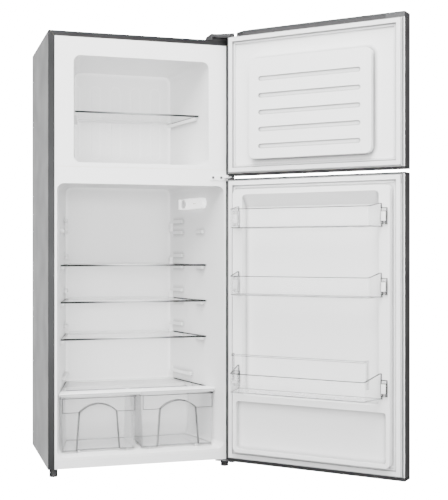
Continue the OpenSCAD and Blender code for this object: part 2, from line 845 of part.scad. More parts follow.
module compressor() color(black) at_cabinet() {
    at_compressor() {
        difference() {
            translate([-mount_dx - 16, -mount_dy - 14, 0])
                cube([2 * mount_dx + 32, 2 * mount_dy + 28, 2.5]);
            for (sx = [-1, 1]) for (sy = [-1, 1])
                translate([sx * mount_dx, sy * mount_dy, -over]) cylinder(d = mount_neck_d + 0.6, h = 6);
        }
        // welded shell: lower pot, seam and dome
        translate([0, 0, 2.5]) rotate_extrude() {
            r = pot_d / 2;
            dome = 40;
            difference() {
                union() {
                    square([r - 14, pot_h - dome]);
                    translate([0, 14]) square([r, pot_h - dome - 14]);
                    translate([r - 14, 14]) circle(14);
                    translate([0, 62]) square([r + 2, 6]);
                    translate([0, pot_h - dome]) intersection() {
                        square([r, dome]);
                        translate([0, dome - dome_r]) circle(dome_r);
                    }
                }
                translate([-cab_w, -over]) square([cab_w, cab_h]);
            }
        }
        // tube stubs
        for (z = [stub_z, stub_z + 26])
            translate([pot_d / 2 - 3, 0, z]) rotate([0, 90, 0]) cylinder(d = 8, h = stub_l + 3);
    }
}

module compressor_mounts() color("#303030") at_cabinet() at_mounts() {
    difference() {
        union() {
            cylinder(d = 24, h = mount_h - fit);
            cylinder(d = mount_neck_d, h = mount_h + 4);
            translate([0, 0, mount_h + 2.5 + fit]) cylinder(d = 22, h = 4);
        }
        translate([0, 0, -over]) cylinder(d = mount_bolt_d + 0.2, h = 40);
    }
    // bolt and washer
    translate([0, 0, -6]) cylinder(d = mount_bolt_d, h = mount_h + 16);
    translate([0, 0, mount_h + 7 + fit]) cylinder(d = 16, h = 2);
}

module relay_cover() color("#2a2a2c") at_cabinet() at_compressor() {
    w = 40;
    translate([-pot_d / 2 - 2 - fit - w, -24, 38]) difference() {
        upright(0, 48) round_rect(0, 0, w, 58, 6);
        for (k = [0 : 3]) translate([8 + k * 7, -over, 18]) cube([3, 2, 26]);
    }
}

module drip_tray() color(dark) at_cabinet() {
    z = tray_z + tray_t + mount_h + 2.5 + pot_h + fit;
    translate([comp_x - 62, comp_y - 42, z]) difference() {
        linear_extrude(drip_h) round_rect(0, 0, 124, 104, 12);
        translate([0, 0, 2]) linear_extrude(drip_h) round_rect(2, 2, 122, 102, 10);
    }
}

module at_drain() translate([comp_x, fridge_depth - 16, comp_h]) children();

module drain_tube() color(black) at_cabinet() at_drain() difference() {
    union() {
        translate([0, 0, -8]) cylinder(d = drain_d, h = hump_top + 8 - liner_t);
        translate([0, 0, hump_top - liner_t - 3]) cylinder(d = drain_flange_d, h = 3);
    }
    translate([0, 0, -10]) cylinder(d = drain_bore, h = hump_top + 12);
}

module at_gland() translate([gland_x, cab_d - comp_d, gland_z]) rotate([-90, 0, 0]) children();

module cord_gland() color(black) at_cabinet() at_gland() difference() {
    union() {
        translate([0, 0, -3]) cylinder(d = gland_d, h = 4);
        cylinder(d = gland_d + 8, h = 4);
        cylinder(d1 = gland_d, d2 = gland_d - 3, h = gland_l - 3);
    }
    translate([0, 0, -3 - over]) cylinder(d = cord_bore, h = gland_l + 2 * over);
}

// ---------- condenser ----------

function unit(v) = v / norm(v);
function leg(points, k) = unit(points[k + 1] - points[k]);

// Points of the bend at corner k of a route, from its incoming leg to its outgoing one
function bend(points, k) =
    let (a = leg(points, k - 1), b = leg(points, k), turn = acos(a * b),
        inward = unit(b - a * cos(turn)),
        centre = points[k] - a * bend_r * tan(turn / 2) + inward * bend_r)
    [for (i = [0 : bend_steps]) let (t = turn * i / bend_steps)
        centre + bend_r * (a * sin(t) - inward * cos(t))];

// A route with its corners bent
function bent(points) = concat(
    [points[0]],
    [for (k = [1 : len(points) - 2]) for (p = bend(points, k)) p],
    [points[len(points) - 1]]);

function along(path, k) =
    k == 0 ? leg(path, 0)
    : k == len(path) - 1 ? leg(path, k - 1)
    : unit(leg(path, k - 1) + leg(path, k));
function across_path(u, t) = unit(u - t * (u * t));

// Bent tube through the points of a route; the first leg must not be upright
module run_of_tube(points, d) {
    path = bent(points);
    n = len(path);
    sides = [for (k = 0, u = across_path([0, 0, 1], along(path, 0)); k < n;
        k = k + 1, u = k < n ? across_path(u, along(path, k)) : u) u];
    polyhedron(
        points = [for (k = [0 : n - 1]) for (i = [0 : tube_sides - 1])
            let (w = cross(along(path, k), sides[k]), t = 360 * i / tube_sides)
            path[k] + d / 2 * (sides[k] * cos(t) + w * sin(t))],
        faces = concat(
            [[for (i = [tube_sides - 1 : -1 : 0]) i]],
            [for (k = [0 : n - 2]) for (i = [0 : tube_sides - 1])
                let (j = (i + 1) % tube_sides, q = k * tube_sides)
                for (f = [[i, j, j + tube_sides], [i, j + tube_sides, i + tube_sides]]) f + [q, q, q]],
            [[for (i = [0 : tube_sides - 1]) i + (n - 1) * tube_sides]]));
}

module condenser_tube() color(dark) at_cabinet() translate([0, cond_y, cond_z0]) {
    for (k = [0 : pass_count - 1]) {
        side = k % 2 == 0 ? -1 : 1;
        translate([0, 0, k * pass_pitch]) rotate([0, 90, 0])
            cylinder(d = tube_d, h = 2 * cond_half, center = true);
        if (k < pass_count - 1)
            translate([side * cond_half, 0, (k + 0.5) * pass_pitch])
                rotate([90, 0, 0]) rotate([0, 0, side > 0 ? -90 : 90])
                    rotate_extrude(angle = 180) translate([pass_pitch / 2, 0]) circle(d = tube_d);
    }
}

module condenser_wires() color(dark) at_cabinet() {
    count = floor(cond_half / wire_pitch);
    for (k = [-count : count]) for (s = [-1, 1])
        translate([k * wire_pitch, cond_y + s * (tube_d + wire_d + 2 * run_fit) / 2, cond_z0 - wire_over])
            cylinder(d = wire_d, h = (pass_count - 1) * pass_pitch + 2 * wire_over);
}

module condenser_clips() color(black) at_cabinet() {
    x = (floor(cond_half / wire_pitch) - 0.5) * wire_pitch;
    for (s = [-1, 1]) for (k = [1, pass_count - 2])
        translate([s * x - 5, 0, cond_z0 + k * pass_pitch]) across(0, 10) difference() {
            union() {
                translate([back_y + sheet_t, -5]) square([cond_y - back_y - sheet_t, 10]);
                translate([back_y + sheet_t, -14]) square([3, 28]);
                translate([cond_y, 0]) circle(5);
            }
            translate([cond_y, 0]) circle(d = tube_d + 2 * fit);
        }
}

// Discharge line, liquid line and suction line
module refrigerant_tubes() color("#b87a4b") at_cabinet() {
    out_x = comp_x + pot_d / 2 + stub_l + run_fit;
    z0 = tray_z + tray_t + mount_h + stub_z;
    top_z = cond_z0 + (pass_count - 1) * pass_pitch;
    end_x = cond_half + run_fit;
    down_x = -end_x - pass_pitch / 2 - tube_d - 3;   // clear of the condenser's bends
    cross_z = drier_z + drier_l + 2 * bend_r;
    run_of_tube([[out_x, comp_y, z0], [out_x + 40, comp_y, z0], [out_x + 40, cond_y, z0],
        [end_x + 16, cond_y, z0 + 30], [end_x + 16, cond_y, cond_z0], [end_x, cond_y, cond_z0]], tube_d);
    run_of_tube([[-end_x, cond_y, top_z], [down_x, cond_y, top_z], [down_x, cond_y, cross_z],
        [drier_x, cond_y - 40, cross_z], [drier_x, comp_y + 20, cross_z],
        [drier_x, comp_y + 20, drier_z + drier_l + run_fit]], tube_d);
    run_of_tube([[out_x, comp_y, z0 + 26], [out_x + 20, comp_y, z0 + 26],
        [out_x + 20, cab_d - comp_d + run_fit, z0 + 26]], tube_d + 2);
}

module filter_drier() color("#b87a4b") at_cabinet() translate([drier_x, comp_y + 20, drier_z])
    rotate_extrude() polygon([[0, 0], [2, 0], [2, 8], [10, 20], [10, drier_l - 18], [4, drier_l - 8],
        [4, drier_l], [0, drier_l]]);

// ---------- inside the fridge space ----------

module on_lamp_wall() on_wall(fridge_half, fridge_angle) children();

module lamp_plan(g) {
    r = lamp_h / 2;
    translate([lamp_x0 + r, lamp_z + g]) square([lamp_l - r - g, lamp_h - 2 * g]);
    translate([lamp_x0 + r, lamp_z + r]) circle(r - g);
}

module at_dial() translate([dial_x, 0, lamp_z + lamp_h / 2]) rotate([-90, 0, 0]) children();

module lamp_housing() color(white) at_cabinet() on_lamp_wall() difference() {
    union() {
        difference() {
            translate([0, lamp_d, 0]) rotate([90, 0, 0]) linear_extrude(lamp_d - fit) lamp_plan(0);
            translate([0, lamp_d - liner_t, 0]) rotate([90, 0, 0]) linear_extrude(lamp_d) lamp_plan(liner_t);
        }
        // bearing of the thermostat's dial, on a rib across the housing
        at_dial() translate([0, 0, fit]) cylinder(d = dial_shaft_d + 8, h = 6);
        translate([dial_x - 1.5, fit, lamp_z + 1]) cube([3, 6, lamp_h - 2]);
    }
    at_dial() translate([0, 0, 8]) cylinder(d = dial_d + 1, h = 20);
    at_dial() translate([0, 0, -over]) cylinder(d = dial_shaft_d + 2 * run_fit, h = 20);
    for (x = [dial_x - dial_d / 2 - 6, dial_x + dial_d / 2 + 4])
        translate([x, lamp_d - 1, lamp_z - over]) cube([2, 4, lamp_h + 2 * over]);
    // light slot
    translate([lamp_x0 + 46, lamp_d - liner_t - over, lamp_z + lamp_h / 2 - 3]) cube([34, 10, 6]);
}

module lamp_bulb() color("#fffbe8") at_cabinet() on_lamp_wall()
    translate([lamp_x0 + 34, lamp_d / 2, lamp_z + lamp_h / 2]) rotate([0, 90, 0]) {
        sphere(d = bulb_d);
        cylinder(d = bulb_d, h = 30);
        translate([0, 0, 30]) cylinder(d = lamp_d - 2 * liner_t - 1, h = 22);
    }

module thermostat_dial() color(white) at_cabinet() on_lamp_wall() at_dial() {
    difference() {
        translate([0, 0, 8.5]) cylinder(d = dial_d, h = lamp_d + 4 - 8.5);
        for (k = [0 : 17]) rotate([0, 0, 20 * k])
            translate([dial_d / 2 + 0.8, 0, lamp_d]) cylinder(d = 3, h = 10);
        translate([-1, 6, lamp_d + 3]) cube([2, 10, 4]);
    }
    translate([0, 0, 1]) cylinder(d = dial_shaft_d, h = 8);
}

// Half the inside width at depth y
function fridge_half_at(y) = fridge_half - (fridge_half - fridge_rear_half) * y / fridge_depth;
function freezer_half_at(y) = freezer_half - (freezer_half - freezer_rear_half) * y / freezer_depth;

module fridge_shelf(k) color(clear) at_cabinet() translate([0, 0, shelf_z + k * shelf_pitch + fit]) {
    x0 = fridge_half_at(shelf_y) - shelf_gap;
    x1 = fridge_half_at(shelf_y1) - shelf_gap;
    linear_extrude(glass_t)
        polygon([[-x0, shelf_y], [x0, shelf_y], [x1, shelf_y1], [-x1, shelf_y1]]);
    // rail along the back edge
    translate([-x1 + boss_d + 2, shelf_y1 - 12, -2]) cube([2 * (x1 - boss_d - 2), rail_d, rail_h]);
}

module lower_shelf() fridge_shelf(0);
module middle_shelf() fridge_shelf(1);
module upper_shelf() fridge_shelf(2);

module freezer_shelf() color(clear) at_cabinet() translate([0, 0, freezer_shelf_z]) {
    x0 = freezer_half_at(freezer_shelf_y) - shelf_gap;
    x1 = freezer_half_at(freezer_shelf_y1) - shelf_gap;
    linear_extrude(glass_t)
        polygon([[-x0, freezer_shelf_y], [x0, freezer_shelf_y],
            [x1, freezer_shelf_y1], [-x1, freezer_shelf_y1]]);
    translate([-x1 + boss_d + 2, freezer_shelf_y1 - 10, -2])
        cube([2 * (x1 - boss_d - 2), rail_d - 6, rail_h]);
}

module crisper_glass() color(clear) at_cabinet() translate([0, 0, cover_z + fit]) {
    x0 = fridge_half_at(trim_y1) - shelf_gap;
    x1 = fridge_half_at(shelf_y1) - shelf_gap;
    linear_extrude(glass_t)
        polygon([[-x0, trim_y1], [x0, trim_y1], [x1, shelf_y1], [-x1, shelf_y1]]);
}

module crisper_trim() color(white) at_cabinet() {
    x0 = fridge_half_at(trim_y0) - shelf_gap;
    x1 = fridge_half_at(trim_y1) - shelf_gap;
    z0 = cover_z + glass_t + fit - trim_h;
    difference() {
        translate([0, 0, z0]) linear_extrude(trim_h)
            polygon([[-x0, trim_y0], [x0, trim_y0], [x1, trim_y1 - fit], [-x1, trim_y1 - fit]]);
        // hollow from below
        translate([0, 0, z0 - over]) linear_extrude(trim_h - 3 + over)
            polygon([[-x0 + 6, trim_y0 + 3], [x0 - 6, trim_y0 + 3],
                [x1 - 6, trim_y1 - 4], [-x1 + 6, trim_y1 - 4]]);
    }
}

// Block of a drawer with rounded edges, drawn for the right one and shrunk by g
module drawer_block(g, z0, z1) hull()
    for (level = [[z0, drawer_draft], [z1, 0]]) {
        z = level[0];
        d = level[1];
        r = 10 - g;
        y0 = drawer_y + 10;
        y1 = drawer_y + drawer_d - d - 10;
        for (p = [[crisper_x0 + d + 10, y0], [fridge_half_at(y0) - 14 - d, y0],
                [fridge_half_at(y1) - 14 - d, y1], [crisper_x0 + d + 10, y1]])
            translate([p[0], p[1], z]) cylinder(r = r, h = 0.01, $fn = 24);
    }

// Front of the hand recess: two sloping legs under a flat arch
module arch_outline(g) {
    m = (crisper_x0 + crisper_x1) / 2;
    intersection() {
        polygon([[m - arch_w / 2 - g, runner_z - over], [m - arch_w / 2 + 14 - g, runner_z + drawer_h],
            [m + arch_w / 2 - 14 + g, runner_z + drawer_h], [m + arch_w / 2 + g, runner_z - over]]);
        union() {
            translate([m, runner_z + 73]) circle(arch_r + g);
            translate([m - arch_w, runner_z - over]) square([2 * arch_w, 130]);
        }
    }
}

module right_drawer() at_cabinet() difference() {
    z1 = runner_z + drawer_h;
    union() {
        drawer_block(0, runner_z, z1);
        // the front's upper band stands a little proud
        translate([crisper_x0 + 8, drawer_y - band_out, z1 - band_h])
            cube([fridge_half_at(drawer_y) - crisper_x0 - 22, 12, band_h]);
    }
    difference() {
        drawer_block(clear_t, runner_z + clear_t, z1 + over);
        upright(0, drawer_y + arch_d + clear_t) arch_outline(clear_t);
    }
    upright(0, drawer_y + arch_d) arch_outline(0);
    // foot line: the front's lower edge is lifted between its corners
    translate([crisper_x0 + 60, 0, runner_z - over]) cube([arch_w, drawer_y + arch_d, 4]);
}

module right_crisper() color(clear) right_drawer();
module left_crisper() color(clear) mirror([1, 0, 0]) right_drawer();

// ---------- doors ----------

// The door's plan: u and v, with the two outer edges rounded, shrunk by g
module door_plan(g) {
    r = door_edge_r - g;
    translate([g, g]) square([cab_w - 2 * g, door_t - 2 * g - r]);
    translate([g + r, g]) square([cab_w - 2 * g - 2 * r, door_t - 2 * g]);
    for (u = [g + r, cab_w - g - r]) translate([u, door_t - g - r]) circle(r);
}

module door_pan(z0, z1) translate([0, 0, z0]) linear_extrude(z1 - z0) difference() {
    door_plan(0);
    door_plan(sheet_t);
    translate([pan_return, -over]) square([cab_w - 2 * pan_return, sheet_t + 2 * over]);
}

// Plate on the door's inner side, drawn in u and z, from v = v0 inwards by d
module inwards(v0, d) translate([0, v0, 0]) rotate([90, 0, 0]) linear_extrude(d) children();

// Magnetic gasket between the heights of two caps: its base, its bulb and its inner lip
module gasket(z0, z1) {
    module sheet(a) translate([gasket_edge + a, z0 + gasket_rise + a])
        square([cab_w - 2 * gasket_edge - 2 * a, z1 - z0 - 2 * gasket_rise - 2 * a]);
    module ring(a, b) difference() {
        sheet(a);
        sheet(b);
    }
    inwards(-liner_t - 0.05, gasket_base_t) ring(0, gasket_w);
    inwards(-liner_t - gasket_base_t, door_gap - liner_t - gasket_base_t - 0.4) ring(2, 2 + bulb_w);
    inwards(-liner_t - gasket_base_t, 3) ring(bulb_w + 5, gasket_w - 2);
}

// A bushing standing on z = 0 with its flange below; it is open through
module bushing(flange_t) difference() {
    union() {
        cylinder(d = bushing_d, h = bushing_l);
        translate([0, 0, -flange_t]) cylinder(d = bushing_flange_d, h = flange_t);
    }
    translate([0, 0, -10]) cylinder(d = pin_d + 2 * run_fit, h = bushing_l + 20);
}

module at_door_pin(z) translate([pin_u, pin_v, z]) children();
module bushing_pocket(z) at_door_pin(z)
    cylinder(d = bushing_d + 2 * fit, h = 2 * bushing_l + 1, center = true);

// Cup for the fingers, grown by g all round, that starts at height z and goes up
// where s is 1 or down where s is -1; p is how far it runs past its mouth
module grip_cup(g, z, s, p = 0)
    translate([grip_u0 - g, door_t - sheet_t - fit - grip_v - g, s > 0 ? z - p : z - grip_d - g])
        cube([grip_w + 2 * g, grip_v + 2 * g, grip_d + g + p]);

// --- freezer door ---

module freezer_door_panel() color(steel) at_door() door_pan(freezer_pan_z0, freezer_pan_z1);

module plateau(g) round_rect(plateau_u0 + g, freezer_door_z0 + 51 + g, plateau_u1 - g,
    freezer_door_z1 - 109.5 - g, 22 - g);

module plateau_grooves(g)
    for (k = [0 : groove_count - 1])
        translate([(plateau_u0 + plateau_u1) / 2, freezer_door_z0 + 93.5 + k * groove_pitch])
            stadium(plateau_u1 - plateau_u0 - 2 * groove_end + 2 * g, groove_h + 2 * g);

module freezer_door_liner() color(white) at_door() difference() {
    union() {
        inwards(0, liner_t) translate([fit, freezer_pan_z0 + fit])
            square([cab_w - 2 * fit, freezer_pan_z1 - freezer_pan_z0 - 2 * fit]);
        inwards(0, plateau_h) plateau(0);
    }
    difference() {
        inwards(over, plateau_h - liner_t + over) plateau(liner_t);
        inwards(-plateau_h + liner_t + groove_d, liner_t + groove_d) plateau_grooves(liner_t);
    }
    inwards(-plateau_h + groove_d, groove_d + over) plateau_grooves(0);
}

module freezer_door_foam() color(foam_yellow) at_door() difference() {
    union() {
        translate([0, 0, freezer_pan_z0 + fit])
            linear_extrude(freezer_pan_z1 - freezer_pan_z0 - 2 * fit) door_plan(sheet_t + fit);
        difference() {
            inwards(sheet_t + 2 * fit, plateau_h - liner_t + sheet_t + fit) plateau(liner_t + fit);
            inwards(-plateau_h + liner_t + groove_d + fit, liner_t + groove_d + 2 * over)
                plateau_grooves(liner_t + fit);
        }
    }
    bushing_pocket(freezer_door_z0);
    bushing_pocket(notch_z);
    grip_cup(fit, freezer_door_z0, 1);
}

module freezer_door_gasket() color("#e4e4e4") at_door() gasket(freezer_pan_z0, freezer_pan_z1);

module notch(u0, u1) translate([u0, -over, notch_z]) cube([u1 - u0, door_t + 2 * over, top_cap_h]);

module freezer_door_top_cap() color(dark) at_door() difference() {
    translate([0, 0, freezer_pan_z1]) linear_extrude(top_cap_h) door_plan(0);
    notch(-over, notch_w);
    notch(cab_w - blank_w, cab_w + over);
    bushing_pocket(notch_z);
}

module freezer_door_blank() color(dark) at_door() intersection() {
    translate([0, 0, notch_z]) linear_extrude(freezer_door_z1 - notch_z) door_plan(0);
    notch(cab_w - blank_w + fit, cab_w + over);
}

module freezer_door_bottom_cap() color(dark) at_door() grip_cap(freezer_door_z0, 1);

// A thin cap with the finger cup; s is 1 when the cup goes up from the cap, -1 when down
module grip_cap(z, s) difference() {
    union() {
        translate([0, 0, s > 0 ? z : z - thin_cap_h]) linear_extrude(thin_cap_h) door_plan(0);
        grip_cup(0, z, s);
    }
    grip_cup(-grip_wall, z, s, over);
    bushing_pocket(z);
}

module freezer_door_bushings() color(white) at_door() {
    at_door_pin(freezer_door_z0) bushing(bushing_flange_t);
    at_door_pin(notch_z) mirror([0, 0, 1]) bushing(0.5);
}

// --- fridge door ---

module fridge_door_panel() color(steel) at_door() door_pan(fridge_pan_z0, fridge_pan_z1);

// Raised ring round the door's shelves, its upper window and its lower window
module dyke(g)
    round_rect(dyke_u0 + g, dyke_z0 + g, cab_w - dyke_u0 - g, fridge_pan_z1 - 35.5 - g, 18 - g);
module upper_window(g) round_rect(window_u0 - g, window_z0 - g, cab_w - window_u0 + g,
    fridge_pan_z1 - 53.5 + g, 14 + g);
module lower_window(g) round_rect(dyke_u0 + low_side - g, dyke_z0 + low_bar - g,
    cab_w - dyke_u0 - low_side + g, window_z0 - ledge_h + g, 10 + g);

// Sloping top of the upper window
module window_slope(g) {
    z = fridge_pan_z1 - 53.5 + g;
    translate([window_u0 - 2 * over, 0, 0]) across(0, cab_w - 2 * window_u0 + 4 * over)
        polygon([[-dyke_h - over, z + over], [over, z + over], [over, z - 42], [-liner_t + g, z - 42],
            [-dyke_h, z - g]]);
}

module fridge_door_relief(g) {
    difference() {
        inwards(0, dyke_h - g) dyke(g);
        difference() {
            inwards(-liner_t + g, dyke_h + over) upper_window(g);
            window_slope(g);
        }
        inwards(-lower_window_v + g, dyke_h) lower_window(g);
    }
}

module at_lugs(z)
    for (s = [-1, 1])
        translate([cab_w / 2 + s * lug_u, -dyke_h, z + lug_z]) children();

module fridge_door_liner() color(white) at_door() {
    difference() {
        union() {
            inwards(0, liner_t) translate([fit, fridge_pan_z0 + fit])
                square([cab_w - 2 * fit, fridge_pan_z1 - fridge_pan_z0 - 2 * fit]);
            fridge_door_relief(0);
        }
        translate([0, 0.5, 0]) fridge_door_relief(liner_t);
    }
    // headed lugs that the bins hang on
    for (z = [upper_bin_z, middle_bin_z, bottle_bin_z]) at_lugs(z) {
        translate([-lug_w / 2, -lug_l, 0]) cube([lug_w, lug_l + liner_t / 2, lug_h]);
        translate([-lug_w / 2 - 3, -lug_l - 2.5, 0]) cube([lug_w + 6, 2.5, lug_h]);
    }
}

module fridge_door_foam() color(foam_yellow) at_door() difference() {
    union() {
        translate([0, 0, fridge_pan_z0 + fit])
            linear_extrude(fridge_pan_z1 - fridge_pan_z0 - 2 * fit) door_plan(sheet_t + fit);
        translate([0, sheet_t + 2 * fit, 0]) fridge_door_relief(liner_t + sheet_t + 3 * fit);
    }
    bushing_pocket(fridge_door_z1);
    bushing_pocket(fridge_door_z0);
    grip_cup(fit, fridge_door_z1, -1);
}

module fridge_door_gasket() color("#e4e4e4") at_door() gasket(fridge_pan_z0, fridge_pan_z1);

module fridge_door_top_cap() color(dark) at_door() grip_cap(fridge_door_z1, -1);

module fridge_door_bottom_cap() color(dark) at_door() difference() {
    translate([0, 0, fridge_door_z0]) linear_extrude(low_cap_h) door_plan(0);
    bushing_pocket(fridge_door_z0);
}

module fridge_door_bushings() color(white) at_door() {
    at_door_pin(fridge_door_z1) mirror([0, 0, 1]) bushing(bushing_flange_t);
    at_door_pin(fridge_door_z0) bushing(2 - fit);
}

// --- bins on the fridge door ---

// Points of an arc about cx, cy from angle a0 to a1
function arc(cx, cy, r, a0, a1) = [
    for (k = [0 : 6]) let (a = a0 + (a1 - a0) * k / 6) [cx + r * cos(a), cy + r * sin(a)]];

// Plan of a bin: it widens from its front towards the door; shrunk by g
module bin_plan(taper, reach, g) {
    c = cab_w / 2;
    r = bin_r;
    f = bin_half - taper - g;
    b = bin_half - g;
    polygon(concat(
        arc(c + f - r, -reach + g + r, r, -90, 0),
        [[c + b, -bin_v0], [c - b, -bin_v0]],
        arc(c - f + r, -reach + g + r, r, 180, 270)));
}

module bin(z, taper, reach, h, rise) translate([0, 0, z]) {
    c = cab_w / 2;
    difference() {
        linear_extrude(h + rise) bin_plan(taper, reach, 0);
        translate([0, 0, clear_t]) linear_extrude(h + rise) bin_plan(taper, reach, clear_t);
        // low back wall
        translate([0, -bin_v0 - 3, 20]) cube([cab_w, 10, h + rise]);
        // walls climb from the front towards the door
        across(0, cab_w) polygon([[-reach - over, h], [-reach + 6, h], [-bin_v0 - 14, h + rise],
            [-bin_v0 - 14, h + rise + over], [-reach - over, h + rise + over]]);
    }
    // ribs under the floor
    for (k = [-rib_count : rib_count])
        translate([c + k * rib_pitch - 1, -reach + 8, -1.2]) cube([2, reach - bin_v0 - 12, 1.7]);
    // hook plates with a slot that drops over the lug
    for (s = [-1, 1])
        translate([c + s * lug_u, -dyke_h - fit - hook_t, 0]) difference() {
            translate([s > 0 ? bin_half - lug_u - 3 : -lug_w / 2 - 5, 0, 10])
                cube([lug_w / 2 + 5 + lug_u - bin_half + 3, hook_t, lug_z + lug_h + 12 - 10]);
            translate([-lug_w / 2 - fit, -over, 0]) cube([lug_w + 2 * fit, 20, lug_z + lug_h + fit]);
        }
}

module upper_bin() color(clear) at_door() bin(upper_bin_z, bin_taper, bin_reach, bin_h, 11);
module middle_bin() color(clear) at_door() bin(middle_bin_z, bin_taper, bin_reach, bin_h, 14);
module bottle_bin() color(clear) at_door() bin(bottle_bin_z, bottle_taper, bottle_reach, bottle_h, 19);

module bottle_guard() color(clear) at_door() translate([0, 0, bottle_bin_z]) intersection() {
    g = clear_t + fit;
    linear_extrude(guard_h) difference() {
        bin_plan(bottle_taper, bottle_reach, g);
        bin_plan(bottle_taper, bottle_reach, g + guard_t);
    }
    union() {
        translate([0, -bottle_reach, guard_h - guard_t * 1.6]) cube([cab_w, 34, guard_t * 1.6]);
        translate([0, -bottle_reach + 24, bottle_h - 24]) cube([cab_w, 10, guard_h - bottle_h + 24]);
    }
}

cabinet_shell();
back_panel();
cabinet_foam();
evaporator_plates();
base_plate();
compartment_panel();
compressor_tray();
fridge_liner();
freezer_liner();
screws();
top_hinge();
hinge_cover();
middle_hinge();
bottom_hinge();
left_foot();
right_foot();
left_roller();
right_roller();
roller_brackets();
lamp_housing();
lamp_bulb();
thermostat_dial();
compressor();
compressor_mounts();
relay_cover();
drip_tray();
drain_tube();
cord_gland();
condenser_tube();
condenser_wires();
condenser_clips();
refrigerant_tubes();
filter_drier();
upper_shelf();
middle_shelf();
lower_shelf();
freezer_shelf();
crisper_glass();
crisper_trim();
left_crisper();
right_crisper();
freezer_door_panel();
freezer_door_liner();
freezer_door_foam();
freezer_door_gasket();
freezer_door_top_cap();
freezer_door_bottom_cap();
freezer_door_blank();
freezer_door_bushings();
fridge_door_panel();
fridge_door_liner();
fridge_door_foam();
fridge_door_gasket();
fridge_door_top_cap();
fridge_door_bottom_cap();
fridge_door_bushings();
upper_bin();
middle_bin();
bottle_bin();
bottle_guard();
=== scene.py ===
"""Looks of the top freezer refrigerator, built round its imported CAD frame. Metres, +Z up."""

import json
import math

import bmesh
import bpy
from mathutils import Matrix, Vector


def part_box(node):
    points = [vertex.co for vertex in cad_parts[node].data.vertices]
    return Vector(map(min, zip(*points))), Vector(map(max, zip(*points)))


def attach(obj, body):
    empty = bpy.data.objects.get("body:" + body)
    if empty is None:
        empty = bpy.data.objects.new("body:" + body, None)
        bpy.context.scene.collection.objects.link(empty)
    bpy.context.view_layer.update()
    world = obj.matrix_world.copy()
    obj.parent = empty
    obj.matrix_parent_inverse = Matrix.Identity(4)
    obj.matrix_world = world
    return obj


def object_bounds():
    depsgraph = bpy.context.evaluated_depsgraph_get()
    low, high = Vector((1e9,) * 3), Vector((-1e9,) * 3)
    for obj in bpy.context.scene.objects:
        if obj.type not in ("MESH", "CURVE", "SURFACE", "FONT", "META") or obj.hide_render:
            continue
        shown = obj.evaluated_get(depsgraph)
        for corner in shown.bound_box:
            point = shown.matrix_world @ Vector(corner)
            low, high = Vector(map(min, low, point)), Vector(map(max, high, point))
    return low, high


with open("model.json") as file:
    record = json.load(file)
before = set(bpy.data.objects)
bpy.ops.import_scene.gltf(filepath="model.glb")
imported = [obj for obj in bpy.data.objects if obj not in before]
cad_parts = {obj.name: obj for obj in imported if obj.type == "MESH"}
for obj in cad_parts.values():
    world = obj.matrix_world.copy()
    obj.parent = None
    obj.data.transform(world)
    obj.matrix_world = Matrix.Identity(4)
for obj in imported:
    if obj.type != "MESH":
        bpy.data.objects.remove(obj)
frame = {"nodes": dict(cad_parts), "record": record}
CAD_BOX = [list(corner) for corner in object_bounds()]
NODES = frame["nodes"]

# ---------- places worked out from the frame ----------

SHELF_RAIL_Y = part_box("upper_shelf")[1].y - 0.0185  # the shelves' white rear rails lie behind this
FREEZER_SHELF_RAIL_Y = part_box("freezer_shelf")[1].y - 0.0125
FRIDGE_BACK_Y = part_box("fridge_liner")[1].y - 0.03  # the compartments' rear corners lie behind this and take a painted highlight
FREEZER_BACK_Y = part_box("freezer_liner")[1].y - 0.012
BRACKET_BORDER_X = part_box("cabinet_shell")[1].x - 0.014
TRIM_LOW, TRIM_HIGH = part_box("crisper_trim")
DOOR_ANGLE = math.radians(133.5)                    # how far both doors stand open
ALONG = Vector((-math.cos(DOOR_ANGLE), -math.sin(DOOR_ANGLE), 0.0))      # from hinge side to free side
INWARD = Vector((-math.sin(DOOR_ANGLE), math.cos(DOOR_ANGLE), 0.0))      # out of a door's inner face

AMBIENT = 0.3            # brightness of the studio all round
BEHIND = 42.0            # brightness of the wall behind the object
KEY_POWER = 456.0
FRONT_POWER = 300.0
LEFT_POWER = 149.0
RIGHT_POWER = 122.0
TOP_POWER = 430.0
LOW_POWER = 18.0
WHITE = 20.0             # brightness of the backdrop and the floor as the camera sees them
DOME_RADIUS = 16.0

SHADE_REACH = 0.016     # metres from an inner corner within which painted shade darkens it
CORNER_HIGHLIGHT = 1.22     # how much brighter the painted highlight makes the rear corners than the plastic
USUAL_ROUNDING = 0.0005


# ---------- camera, floor and light ----------

def add_camera():
    data = bpy.data.cameras.new("camera")
    data.lens = 72.31
    data.sensor_width = 36.0
    data.shift_y = 0.0032
    data.clip_end = 50.0
    camera = bpy.data.objects.new("camera", data)
    camera.location = (-0.753, -3.662, 0.767)
    camera.rotation_euler = (math.radians(90.0), 0.0, math.radians(-17.05))
    bpy.context.scene.collection.objects.link(camera)
    bpy.context.scene.camera = camera


def area_light(name, place, target, width, height, power):
    data = bpy.data.lights.new(name, "AREA")
    data.shape = "RECTANGLE"
    data.size = width
    data.size_y = height
    data.energy = power
    light = bpy.data.objects.new(name, data)
    light.location = place
    light.rotation_euler = (Vector(target) - Vector(place)).to_track_quat("-Z", "Y").to_euler()
    bpy.context.scene.collection.objects.link(light)


def math_node(tree, operation, *values):
    """A Math node; each value is a number or a socket."""
    node = tree.nodes.new("ShaderNodeMath")
    node.operation = operation
    for socket, value in zip(node.inputs, values):
        if isinstance(value, (int, float)):
            socket.default_value = value
        else:
            tree.links.new(value, socket)
    return node.outputs["Value"]


